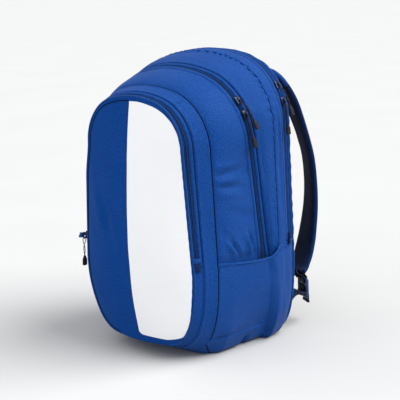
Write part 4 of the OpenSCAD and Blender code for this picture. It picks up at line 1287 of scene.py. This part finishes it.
def pocket(sgn, nm):
    cols = []
    norms = []
    for k in KS:
        s = pk_sta(k)
        zt = pk_top(k)
        rows = [(5, z, 1, 0) for z in np.linspace(zt, 150, 6)[:-1]] if zt > 150.5 else []
        rows = [(5, z, 1, 0) for z in np.linspace(zt, 150, 6)][:-1]
        rows += [(1, t, 1, 0) for t in np.linspace(1, 0.3, 44)]
        o = outline(s, rows)
        z = o[:, 1]
        P = np.stack([o[:, 0], yy(s, z), z], -1)
        n = np.stack([o[:, 2], 0 * z, o[:, 3]], -1)
        d = 1.0 + gape(k, z)
        # filling makes the panel bow; a seam runs down at the widest line
        d = d + 1.6 * math.sin(math.pi * min(1, k / 0.66)) * step(20, 60, z) * (1 - step(110, 150, z))
        seam = math.exp(-((k - 0.66) / 0.018) ** 2)
        d = d - 0.5 * seam + 0.15 * math.exp(-((k - 0.70) / 0.02) ** 2) + 0.15 * math.exp(-((k - 0.62) / 0.02) ** 2)
        Pm = P * np.array([sgn, 1, 1])
        fade = step(0, 8, zt - z) * min(1, k / 0.05) * (1 - step(1.0, 1.12, k))
        d = d + (0.8 * rumple(Pm, 71) + 0.3 * vnoise(Pm / 18, 72)) * fade
        for c, dr, a, b, h in (((140, 30, 128), (0, 0.5, -0.86), 34, 8, -1.6), ((150, 42, 110), (0, 0.25, -0.97), 40, 7, 1.4), ((116, -60, 34), (0.1, 0.95, 0.12), 26, 4.5, -3.0), ((122, -52, 44), (0.1, 0.95, 0.1), 24, 7, 1.8), ((118, 22, 38), (0.2, 0.9, 0.3), 24, 5, -2.2), ((140, -50, 96), (0, 0.8, 0.6), 34, 12, 0.9), ((128, 20, 52), (0.3, 0.9, 0.2), 36, 9, -1.2), ((154, 66, 120), (0, 0.1, -1), 40, 6, -0.9), ((146, 70, 60), (0.2, 0.2, -1), 30, 6, 1.0)):
            d = d + side_ridge(P, c, dr, a, b, h) * fade
        cols.append(P + n * d[:, None])
        norms.append(n)
    G = np.stack(cols, 1)  # rows down, columns back
    if sgn > 0:
        G = G[::-1]
    G = G * np.array([sgn, 1, 1])
    ob = sheet("side_pocket_cloth_" + nm, G, 2.0, [BLUE, LINING], drop=0.4)
    attach(ob, ZR, ["side_pocket_" + nm])
    top = G[-1] if sgn > 0 else G[0]
    nn = np.stack(norms, 1)[0] * np.array([sgn, 1, 1])
    edge = tube("pocket_binding_cloth_" + nm, top - nn * 0.9 + np.array([0, 0, -0.3]), 1.6, [BLUE_EDGE], np.tile([0.0, 0, 1], (len(top), 1)), 10, False, 1.2)
    attach(edge, ZR, ["pocket_binding_" + nm])
    line = (G[-3] if sgn > 0 else G[2]) + nn * 0.25
    st = stitches("stitching_pocket_" + nm, [(line, nn, False)], THREAD_DARK)
    attach(st, ZR)


pocket(1, "right")
pocket(-1, "left")


# ------------------------------------------------------------------ base
def base_point(t, side, flat, y):
    """A point on the soft base: along the bottom corner (t) or the flat underside (flat from 0 to 1)."""
    if y < -84:
        s = mix(F, FM, (y + 123) / 39)
    elif y < 44:
        s = fm((y + 84) / 128)
    elif y < 50:
        s = mix(M, MR, (y - 44) / 6)
    elif y < 79.5:
        s = mix(MR, R, (y - 50) / 29.5)
    else:
        s = mix(R, B, min(1, (y - 79.5) / 14.5))
    o = outline(s, [(1, t, side, 0) if t > 0 else (0, flat, side, 0)])[0]
    lip = step(-87, -70, y) * (1 - step(84, 96, y))
    d = 1.9 + 5.6 * (1 - step(0.10, 0.40, t)) * lip
    p = np.array([o[0] + o[2] * d, y, o[1] + o[3] * d])
    # a fold where the corner of the base has creased
    cr = math.exp(-((y + 1) / 6.0) ** 2) * step(85, 112, abs(p[0])) * (1 - step(10, 24, p[2]))
    p[0] -= side * 5.5 * cr
    p[2] += 2.2 * cr
    p[2] += 0.6 * max(0.0, float(vnoise(p / 30, 81))) * step(1, 6, p[2])
    p[2] = max(p[2], 0.12)
    return p


def base():
    rows = [(t, -1, 1) for t in np.linspace(0.44, 0.0, 30)[:-1]] + [(0, -1, f) for f in np.linspace(1, 0, 14)] + [(0, 1, f) for f in np.linspace(0, 1, 14)[1:]] + [(t, 1, 1) for t in np.linspace(0, 0.44, 30)[1:]]
    ys = np.concatenate([np.linspace(-87, -62, 14), np.linspace(-62, 78, 56)[1:], np.linspace(78, 95.5, 12)[1:]])
    G = np.array([[base_point(t, sd, fl, y) for y in ys] for t, sd, fl in rows])
    ob = sheet("base_cloth", G, 2.2, [BLUE, LINING], drop=0.6)
    attach(ob, "root", ["base_panel"])
    # seam of the base corner, from the front seam down to the floor: a near-black cord, painted shade of its crease
    for sd, nm in ((1, "right"), (-1, "left")):
        k = np.linspace(0, 1, 16)
        P = np.array([base_point(mix(0.36, 0.10, q), sd, 1, mix(-84.5, -63, q)) for q in k])
        P[:, 2] = np.maximum(P[:, 2], 0.75)
        attach(tube("base_corner_seam_shade_" + nm, P, 0.95, [SEAM_DARK], np.tile([0.4 * sd, -0.6, -0.7], (16, 1)), 6), "root")


base()

# ------------------------------------------------------------------ dividers and back panel
def disc(s, y, inset, rows, rings=14):
    """Concentric grid filling an outline at a given depth."""
    o = outline(s, rows)
    E = np.stack([o[:, 0] - o[:, 2] * inset, np.full(len(o), float(y)), o[:, 1] - o[:, 3] * inset], -1)
    c = np.array([0.0, y, 240.0])
    r = 1 - (np.arange(rings + 1) / rings) ** 1.3 * 0.985
    return c + (E - c)[:, None] * r[None, :, None], r


def disc_solid(name, G, back, mats, ids=(0, 1)):
    """Closed solid between a front grid and a back grid of the same shape."""
    n, m = G.shape[:2]
    k = n * m
    V = np.concatenate([G.reshape(-1, 3), back.reshape(-1, 3)])
    faces, mi, uvs = [], [], []
    for i in range(n):
        i2 = (i + 1) % n
        for j in range(m - 1):
            a = (i * m + j, i * m + j + 1, i2 * m + j + 1, i2 * m + j)
            faces.append(a)
            mi.append(ids[0])
            faces.append(tuple(k + x for x in a[::-1]))
            mi.append(ids[1])
        faces.append((i2 * m, i * m, k + i * m, k + i2 * m)[::-1])
        mi.append(ids[0])
    inner = tuple(i * m + m - 1 for i in range(n))
    faces.append(inner[::-1])
    mi.append(ids[0])
    faces.append(tuple(k + x for x in inner))
    mi.append(ids[1])
    uvs = [[(V[x][0], V[x][2]) for x in f] for f in faces]
    ob = make(name, V, faces, uvs, mats, mi)
    return ob


SPARSE = full_rows(nb=8, nc=16, nl=26, ns=20, nk=10)


def divider(name, s, y, inset, how, nodes, area):
    G, r = disc(s, y, inset, SPARSE)
    w = (1 - r ** 2)[None]
    wav = (2.0 * vnoise(G / 80, 91) + 0.7 * vnoise(G / 33, 92)) * w
    A = G + np.array([0, 1.0, 0]) * (wav + 0.8)[..., None]
    Bk = G + np.array([0, 1.0, 0]) * (wav - 0.8)[..., None]
    ob = disc_solid(name, A, Bk, [LINING, LINING])
    attach(ob, how, nodes)
    return ob


def disc_area(s, inset):
    o = outline(s, SPARSE)
    x, z = (o[:, 0] - o[:, 2] * inset) * 0.001, (o[:, 1] - o[:, 3] * inset) * 0.001
    return abs(0.5 * float(np.sum(x * np.roll(z, -1) - z * np.roll(x, -1))))


divider("divider_front_cloth", FM, -82.0, 5.5, ZA, ["divider_front", "divider_front_lower"], round(disc_area(FM, 5.5), 4))
divider("divider_rear_cloth", mix(M, MR, 0.6), 45.5, 7.0, "root", ["divider_rear"], round(disc_area(mix(M, MR, 0.6), 7.0), 4))


def back_panel():
    rows = full_rows(nb=14, nc=30, nl=60, ns=40, nk=20)
    G, r = disc(B, 94.0, 1.2, rows, 34)
    x, z = G[..., 0], G[..., 2]
    edge = step(0, 0.13, (1 - r))[None]
    pad = 3.2 * edge
    # sewn channels between the pads and a lumbar line
    ch = np.exp(-((np.abs(x) - 27) / 3.2) ** 2) * step(95, 125, z) * (1 - step(405, 430, z))
    ch = ch + np.exp(-((z - 96) / 3.2) ** 2) * (np.abs(x) < 112) + np.exp(-((z - 418) / 3.2) ** 2) * (np.abs(x) < 100)
    pad = pad - 2.6 * np.clip(ch, 0, 1) * edge + 0.5 * vnoise(G / 42, 95) * edge
    A = G + np.array([0, 1.0, 0]) * (pad - 1.0)[..., None]
    Bk = G - np.array([0, 4.0, 0])
    ob = disc_solid("back_panel_cloth", A[:, :, :], Bk, [MESH, LINING])
    attach(ob, "back", ["back_panel"])
    return ob


back_panel()


def back_pad(sgn, nm):
    """Foam pad under mesh: a rounded block that is then blown up as cloth."""
    n, m = 46, 14
    zz = np.linspace(402, 108, n)
    V, faces = [], []
    rings = []
    for i, z in enumerate(zz):
        t = (402 - z) / 294
        x0, x1 = 34.0, mix(78, 94, t)
        e = math.sqrt(max(0.0, 1 - (2 * t - 1) ** 10))
        h = 4.2 * max(e, 0.25)
        c, w = (x0 + x1) / 2, (x1 - x0) / 2 * (0.9 + 0.1 * e) - 0.8
        q = rounded(2 * w, 2 * h, h * 0.9, 6)
        rings.append(np.column_stack([c + q[:, 0], 100.2 + q[:, 1], np.full(len(q), z)]))
    v, f = loft_parts(rings)
    v = v * np.array([sgn, 1, 1])
    if sgn > 0:
        f = [q[::-1] for q in f]
    ob = join_parts("back_pad_cloth_" + nm, [(v, f, 0)], [MESH_OBJ])
    rm = ob.modifiers.new("remesh", "REMESH")
    rm.mode, rm.voxel_size = "VOXEL", 0.005
    dg = bpy.context.evaluated_depsgraph_get()
    me = bpy.data.meshes.new_from_object(ob.evaluated_get(dg))
    ob.modifiers.clear()
    ob.data = me
    start = np.array([p.co for p in me.vertices])
    g = ob.vertex_groups.new(name="pin")
    g.add([i for i, p in enumerate(start) if p[1] < 0.0972], 1.0, "REPLACE")
    cl = ob.modifiers.new("cloth", "CLOTH")
    cl.settings.use_pressure = True
    cl.settings.uniform_pressure_force = 4.0
    cl.settings.vertex_group_mass = "pin"
    cl.settings.effector_weights.gravity = 0.0
    cl.settings.quality = 6
    cl.collision_settings.use_collision = False
    cl.point_cache.frame_start, cl.point_cache.frame_end = 1, 20
    for fr in range(1, 21):
        scene.frame_set(fr)
    dg = bpy.context.evaluated_depsgraph_get()
    new = bpy.data.meshes.new_from_object(ob.evaluated_get(dg))
    ob.modifiers.clear()
    scene.frame_set(1)
    co = np.array([p.co for p in new.vertices])
    mv = co - start
    d = np.linalg.norm(mv, axis=1)
    co = start + mv * np.minimum(1, 0.0045 / np.maximum(d, 1e-9))[:, None]
    co[:, 1] = np.maximum(co[:, 1], 0.0945)
    new.vertices.foreach_set("co", co.ravel())
    ob.data = new
    ob.vertex_groups.clear()
    # sewn channels across the pad
    co = np.array([p.co for p in ob.data.vertices]) * 1000
    zc = co[:, 2]
    groove = sum(np.exp(-((zc - z) / 4.0) ** 2) for z in (180, 255, 330))
    co[:, 1] -= 3.4 * groove * step(98, 104, co[:, 1])
    ob.data.vertices.foreach_set("co", (co * 0.001).ravel())
    ob.data.materials.clear()
    ob.data.materials.append(MESH_OBJ)
    ob.data.polygons.foreach_set("use_smooth", np.ones(len(ob.data.polygons), bool))
    sb = ob.modifiers.new("smooth", "SUBSURF")
    sb.levels = sb.render_levels = 1
    attach(ob, "back", ["back_pad_" + nm])


back_pad(1, "right")
back_pad(-1, "left")

# ------------------------------------------------------------------ shoulder straps
ROUTE = np.array([[72, 97, 452, 0, 50], [73, 120, 447, -8, 56], [76, 150, 428, -20, 62], [80, 182, 392, -31, 68], [84, 206, 345, -37, 68], [86, 226, 290, -39, 68],
                  [87, 232, 240, -39, 68], [88, 229, 195, -37, 66], [90, 216, 150, -33, 62], [95, 197, 117, -27, 52], [101, 177, 96, -21, 40], [107, 160, 86, -16, 30]], float)


YOKE = 66.0


def strap(sgn, nm):
    ext = np.vstack([[71.6, 91, 453, 0, 48], ROUTE])
    S = smooth_path(ext, 9)
    P = S[:, :3]
    T = frames(P, False)
    a = np.radians(S[:, 3])
    W = np.stack([np.cos(a), np.sin(a), 0 * a], 1)
    W = W - (W * T).sum(1)[:, None] * T
    W /= np.linalg.norm(W, axis=1)[:, None]
    N = np.cross(T, W)
    L = np.concatenate([[0], np.cumsum(np.linalg.norm(np.diff(P, axis=0), axis=1))])
    n = len(P)
    fs = np.concatenate([np.linspace(-1, -0.8, 5), np.linspace(-0.8, 0.8, 15)[1:-1], np.linspace(0.8, 1, 5)])
    half = S[:, 4] / 2
    taper = 0.55 + 0.45 * step(0, 40, L) * (1 - 0.45 * step(L[-1] - 60, L[-1], L))
    cols, mats_ = [], []
    for f in fs:  # side next to the wearer
        e = (max(0.05, 1 - abs(f) ** 5)) ** 0.5
        q = P + W * (f * half)[:, None]
        d = 6.4 * e * taper + (0.5 * vnoise(q / 26, 101) + 0.25 * vnoise(q / 12, 102)) * e
        d = d + 0.55 * e * np.sin(L / 17 * 2 * math.pi) * np.exp(-((L - 60) / 45) ** 2)
        cols.append(q + N * d[:, None])
        mats_.append(0)
    for f in fs[::-1]:  # outer side
        e = (max(0.05, 1 - abs(f) ** 5)) ** 0.5
        q = P + W * (f * half)[:, None]
        quilt = np.exp(-((abs(f) * half - (half - 11)) / 2.0) ** 2) * 1.0
        d = 6.0 * e * taper + 0.4 * vnoise(q / 30, 103) * e - quilt * (abs(f) > 0.3)
        cols.append(q - N * d[:, None])
        mats_.append(1)
    G = np.stack(cols, 1) * np.array([sgn, 1, 1])
    m = G.shape[1]
    faces, uvs, ids = [], [], []
    U = np.concatenate([fs, fs[::-1]])
    for i in range(n - 1):
        for j in range(m):
            j2 = (j + 1) % m
            q = (i * m + j, i * m + j2, (i + 1) * m + j2, (i + 1) * m + j)
            u = [(U[j] * half[i], L[i]), (U[j2] * half[i], L[i]), (U[j2] * half[i + 1], L[i + 1]), (U[j] * half[i + 1], L[i + 1])]
            if sgn > 0:
                q, u = q[::-1], u[::-1]
            faces.append(q)
            uvs.append(u)
            ids.append(2 if mats_[j] == 1 and L[i] < YOKE else mats_[j])
    c0, c1 = tuple(range(m)), tuple((n - 1) * m + j for j in range(m - 1, -1, -1))
    if sgn < 0:
        c0, c1 = c0[::-1], c1[::-1]
    for c in (c0, c1):
        faces.append(c)
        uvs.append([(0, 0)] * m)
        ids.append(1)
    ob = make("strap_cloth_" + nm, G.reshape(-1, 3), faces, uvs, [MESH, STRAP, BLUE], ids)
    how = ("back", "strap_r" if sgn > 0 else "strap_l", (0, 0.094, 0), (0, 0.130, 0))
    attach(ob, how, ["strap_" + nm])
    k = slice(4, n)
    bind = []
    ky = int(np.searchsorted(L, YOKE))
    for f in (-1, 1):
        for kk, mt in ((slice(4, ky + 1), 1), (slice(ky, n), 0)):
            E = (P + W * (f * (half - 0.6))[:, None])[kk] * np.array([sgn, 1, 1])
            v, fc = tube_parts(E, 2.9 * (0.75 + 0.25 * taper[kk]), (N[kk] * np.array([sgn, 1, 1])), 10, False, 1.35)
            bind.append((v, fc, mt))
    # seam where the blue yoke meets the strap's own cloth
    q = (P[ky] + W[ky] * (np.linspace(-1, 1, 15) * (half[ky] - 2.5))[:, None] - N[ky] * (6.1 * taper[ky] * (1 - np.abs(np.linspace(-1, 1, 15)) ** 5 * 0.75) ** 0.5)[:, None]) * np.array([sgn, 1, 1])
    v, fc = tube_parts(q, 1.0, -N[ky] * np.array([sgn, 1, 1]), 8)
    bind.append((v, fc, 0))
    E1 = P[-1] * np.array([sgn, 1, 1])
    bo = join_parts("strap_binding_" + nm, bind, [DEEP, BLUE_EDGE])
    attach(bo, how, ["strap_" + nm])
    lines = []
    for f in (-1, 1):
        q = (P + W * (f * (half - 5.2))[:, None] - N * (6.0 * taper * (max(0.05, 1 - 0.9 ** 5)) ** 0.5 + 0.1)[:, None])[k] * np.array([sgn, 1, 1])
        lines.append((q, -N[k] * np.array([sgn, 1, 1]), False))
    attach(stitches("stitching_strap_" + nm, lines, THREAD_DARK), how)


strap(1, "right")
strap(-1, "left")

# ------------------------------------------------------------------ webbing, ladder locks, wings
def ribbon(name, pts, W, width, thick, mats, mirror=1, mat=0):
    """Flat webbing on points: W = width direction at each point, rounded selvedges."""
    P, W = np.asarray(pts, float), np.asarray(W, float)
    T = frames(P, False)
    W = W - (W * T).sum(1)[:, None] * T
    W /= np.linalg.norm(W, axis=1)[:, None]
    N = np.cross(T, W)
    width = np.broadcast_to(np.asarray(width, float), (len(P),))
    prof = [(-1, 0), (-0.96, 0.7), (-0.86, 1), (-0.4, 1), (0, 1), (0.4, 1), (0.86, 1), (0.96, 0.7), (1, 0), (0.96, -0.7), (0.86, -1), (0.4, -1), (0, -1), (-0.4, -1), (-0.86, -1), (-0.96, -0.7)]
    V = np.stack([P + W * (a * width / 2)[:, None] + N * (b * thick / 2) for a, b in prof], 1) * np.array([mirror, 1, 1])
    n, m = V.shape[:2]
    L = np.concatenate([[0], np.cumsum(np.linalg.norm(np.diff(P, axis=0), axis=1))])
    faces, uvs = [], []
    for i in range(n - 1):
        for j in range(m):
            j2 = (j + 1) % m
            q = (i * m + j, i * m + j2, (i + 1) * m + j2, (i + 1) * m + j)
            u = [(L[i], prof[j][0] * width[i] / 2), (L[i], prof[j2][0] * width[i] / 2), (L[i + 1], prof[j2][0] * width[i + 1] / 2), (L[i + 1], prof[j][0] * width[i + 1] / 2)]
            if mirror > 0:
                q, u = q[::-1], u[::-1]
            faces.append(q)
            uvs.append(u)
    c0, c1 = tuple(range(m)), tuple((n - 1) * m + j for j in range(m - 1, -1, -1))
    if mirror < 0:
        c0, c1 = c0[::-1], c1[::-1]
    fl = [len(faces), len(faces) + 1]
    faces += [c0, c1]
    uvs += [[(0, 0)] * m] * 2
    return make(name, V.reshape(-1, 3), faces, uvs, mats, None, fl)


LOCK = np.array([117.0, 164, 64])
LW = np.array([math.cos(math.radians(-30)), math.sin(math.radians(-30)), 0])
LO = np.array([-LW[1], LW[0], 0])
for sgn, nm, bd in ((1, "right", "strap_r"), (-1, "left", "strap_l")):
    mir = np.array([sgn, 1, 1])
    # ladder lock: frame with three bars and a thumb lip, corners rounded
    parts = []
    for x in (-17.5, 17.5):
        q = np.array([(y, z) for y, z in rounded(5.0, 34.0, 2.2, 5)])
        v, f = slab_parts(q, x - 1.5, x + 1.5, 0.5)
        parts.append((v, f))
    for z, r in ((-16, 2.0), (0, 2.0), (16, 2.0)):
        a = np.linspace(-17, 17, 15)
        v, f = tube_parts(np.column_stack([a, 0 * a, 0 * a + z]), r * (1 + 0.08 * np.cos(a / 17 * 3)), (0, 0, 1), 12)
        parts.append((v, f))
    lip = []
    for t in np.linspace(0, 1, 6):
        q = rounded(33, 2.6 - 0.9 * t, 0.8, 4)
        lip.append(np.column_stack([q[:, 0] * (1 - 0.1 * t), q[:, 1] + 1.4 + 0.8 * t * t, np.full(len(q), -16.5 - 4.5 * t)]))
    v, f = loft_parts(lip)
    parts.append((v, [q[::-1] for q in f]))
    A = rz(math.radians(-30))
    out = [((v @ A.T + LOCK) * mir, f if sgn > 0 else [q[::-1] for q in f], 0) for v, f in parts]
    lk = join_parts("ladder_lock_body_" + nm, out, [ACETAL])
    attach(lk, bd, ["ladder_lock_" + nm])
    # webbing from the wing through the lock, and its tail
    up = np.array([0, 0, 1.0])
    path = smooth_path([[129.8, 136, 58.2], [127.2, 140.6, 58], [120.8, 152.4, 57.6], LOCK - LO * 4.4 - up * 5.6, LOCK - LO * 3.3 - up * 0.6, LOCK - LO * 1.9 + up * 2.6, LOCK + up * 3.4, LOCK + LO * 1.9 + up * 2.6, LOCK + LO * 3.4 - up * 0.6,
                        LOCK + LO * 4.6 - up * 7, LOCK + LO * 5.2 - up * 15, LOCK + LO * 5.2 - up * 22, LOCK + LO * 4.6 - up * 28], 7)
    wd = np.tile(LW, (len(path), 1))
    wb = ribbon("adjuster_web_" + nm, path, wd, 25.0, 1.7, [WEB], sgn)
    attach(wb, ("back", bd, (sgn * 0.1272, 0.1406, 0.058), (sgn * 0.1168, 0.1615, 0.057)), ["adjuster_webbing_" + nm, "webbing_tail_" + nm])
    # hem at the tail's end
    e = path[-5:]
    hm = ribbon("webbing_hem_" + nm, e, wd[-5:], 25.6, 4.0, [WEB], sgn)
    attach(hm, bd)
    # loop that holds the lock on the strap's tip
    c = LOCK + np.array([0, 0, 16])
    pth = smooth_path([[102.5, 166.8, 91.5], [108.5, 166.6, 88.4], c + LO * 2.4 + up * 2.9, c + LO * 3.1 - up * 1.5, c + LO * 2.4 - up * 7, c - up * 9.6, c - LO * 2.4 - up * 7, c - LO * 3.1 - up * 1.5, c - LO * 2.4 + up * 2.9, [109, 160.4, 86.4], [103.5, 163, 89]], 4)
    lo = ribbon("lock_loop_" + nm, pth, np.tile(LW, (len(pth), 1)), 24.0, 1.5, [WEB], sgn)
    attach(lo, bd)

WING = [[[126, 94.3, 40], [140, 94.3, 82], [-1.3, 0, 0.4]], [[128, 108, 45], [140, 108, 77], [-1.2, 0.1, 0.5]], [[124, 124, 52], [140, 122, 69], [-0.8, 0.2, 1]], [[116.2, 145.6, 58], [137.8, 133.1, 58], [0.2, 0.4, 1.2]]]
for sgn, nm in ((1, "right"), (-1, "left")):
    lo_ = smooth_path([w[0] for w in WING], 7)
    hi_ = smooth_path([w[1] for w in WING], 7)
    th = smooth_path([w[2] for w in WING], 7)
    lo_ = np.vstack([lo_[0] + np.array([0, -3.0, 0]), lo_])
    hi_ = np.vstack([hi_[0] + np.array([0, -3.0, 0]), hi_])
    th = np.vstack([th[0], th])
    th /= np.linalg.norm(th, axis=1)[:, None]
    f = np.linspace(0, 1, 15)
    C = lo_[:, None] + (hi_ - lo_)[:, None] * f[None, :, None]
    puff = 1.5 * np.sin(np.pi * f)[None] ** 0.5 + 0.25
    puff = puff + 0.3 * vnoise(C / 14, 111) * np.sin(np.pi * f)[None]
    top = (C + th[:, None] * puff[..., None]) * np.array([sgn, 1, 1])
    bot = (C - th[:, None] * puff[..., None]) * np.array([sgn, 1, 1])
    n, m = top.shape[:2]
    k = n * m
    idx = np.arange(k).reshape(n, m)
    q = [(idx[i, j], idx[i, j + 1], idx[i + 1, j + 1], idx[i + 1, j]) for i in range(n - 1) for j in range(m - 1)]
    fc = [x for x in q] + [tuple(k + y for y in x[::-1]) for x in q]
    border = list(idx[0, :]) + list(idx[1:, -1]) + list(idx[-1, -2::-1]) + list(idx[-2:0:-1, 0])
    fc += [(b, a, a + k, b + k) for a, b in zip(border, border[1:] + border[:1])]
    if sgn < 0:
        fc = [x[::-1] for x in fc]
    V = np.concatenate([top.reshape(-1, 3), bot.reshape(-1, 3)])
    uvs = [[(V[y][1], V[y][2]) for y in x] for x in fc]
    wg = make("strap_wing_cloth_" + nm, V, [tuple(int(y) for y in x) for x in fc], uvs, [NAVY])
    attach(wg, "back", ["strap_anchors"])
    lines = [((C + th[:, None] * (puff[..., None] + 0.1))[1:, j] * np.array([sgn, 1, 1]), th[1:] * np.array([sgn, 1, 1]), False) for j in (2, 12)]
    attach(stitches("stitching_wing_" + nm, lines, THREAD_DARK), "back")

# ------------------------------------------------------------------ haul handle and patch
hp = [[-36.2, 106.6, 463], [-36.2, 106.6, 445], [-36.2, 106.6, 432], [-33, 106.6, 421], [-24, 106.6, 416.2], [-10, 106.6, 415.6], [10, 106.6, 415.6], [24, 106.6, 416.2], [33, 106.6, 421], [36.2, 106.6, 432], [36.2, 106.6, 445], [36.2, 106.6, 463]]
HP = smooth_path(hp, 7)
hw = ribbon("haul_handle_web", HP, np.tile([0.0, 1, 0], (len(HP), 1)), 20.0, 3.0, [WEB])
attach(hw, "handle", ["haul_handle"])
mid = HP[(np.abs(HP[:, 0]) < 27) & (HP[:, 2] < 425)]
gv, gf_ = tube_parts(mid, 1.0, (0, 0, 1), 16)
ring = gv.reshape(len(mid), 16, 3)
cen = mid[:, None]
gr = cen + (ring - cen) * np.array([3.6, 11.2, 3.6]) * (1 - 0.35 * np.abs(np.linspace(-1, 1, len(mid))) ** 8)[:, None, None]
grip = join_parts("haul_handle_grip", [(gr.reshape(-1, 3), gf_, 0)], [NAVY])
attach(grip, "handle", ["haul_handle"])


def patch():
    n, m = 15, 31
    x, z = np.linspace(-40, 40, m), np.linspace(444, 470, n)
    G = np.stack([np.repeat(x[None], n, 0), np.full((n, m), 97.0), np.repeat(z[:, None], m, 1)], -1)
    G[..., 1] += 0.3 * vnoise(G / 12, 121)
    G = G[:, ::-1]
    ob = sheet("handle_patch_cloth", G, 1.8, [NAVY, NAVY], drop=0.5)
    attach(ob, "back", ["handle_patch"])
    lines = []
    up = np.array([0, 1.0, 0])
    for x0, x1 in ((-38, -26), (26, 38)):
        box = [(x0, 446.5), (x1, 446.5), (x1, 467.5), (x0, 467.5), (x0, 446.5), (x1, 467.5), (x1, 446.5), (x0, 467.5)]
        pts = []
        for a, b in zip(box, box[1:]):
            for t in np.linspace(0, 1, 12)[:-1]:
                pts.append((mix(a[0], b[0], t), 97.35, mix(a[1], b[1], t)))
        lines.append((np.array(pts), np.tile(up, (len(pts), 1)), False))
    attach(stitches("stitching_patch", lines, THREAD, 2.8, 1.05), "back")


patch()

# hidden rigid sheets keep their shape and take a sheet-plastic finish
for nm in ("base_board", "back_stiffener"):
    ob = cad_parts[nm]
    ob.data.materials.clear()
    ob.data.materials.append(BOARD)

# ------------------------------------------------------------------ floor and light
fm = bpy.data.meshes.new("floor")
fm.from_pydata([(-40, -40, 0), (40, -40, 0), (40, 40, 0), (-40, 40, 0)], [], [(0, 1, 2, 3)])
floor = bpy.data.objects.new("floor", fm)
scene.collection.objects.link(floor)
fl = Mat("pale_floor")
fn = fl.noise(fl.coords("Object"), 3.0, 2.0)
fm.materials.append(fl.done(fl.cmix(fl.span(fn, 0.3, 0.7, 0.0, 1.0), (0.480, 0.480, 0.484), (0.493, 0.493, 0.497)), None, None, Roughness=0.7, Specular_IOR_Level=0.2))

world = bpy.data.worlds.new("studio")
scene.world = world
world.use_nodes = True
bg = next(n for n in world.node_tree.nodes if n.type == "BACKGROUND")
bg.inputs["Color"].default_value = (0.94, 0.97, 1.0, 1)
bg.inputs["Strength"].default_value = 0.50
for nm, power, width, way in (("soft_key", 4.6, 50, (0.55, 0.34, 0.76)), ("broad_fill", 1.9, 120, (-0.30, -0.70, 0.65))):
    sun = bpy.data.lights.new(nm, "SUN")
    sun.energy, sun.angle, sun.color = power, math.radians(width), (1.0, 0.995, 0.98)
    so = bpy.data.objects.new(nm, sun)
    scene.collection.objects.link(so)
    so.rotation_mode = "QUATERNION"
    so.rotation_quaternion = Vector(way).to_track_quat("Z", "Y")
    so.visible_glossy = nm == "soft_key"
scene.view_settings.view_transform = "Standard"
scene.view_settings.look = "None"
scene.view_settings.exposure = 0.0
scene.view_settings.gamma = 1.0
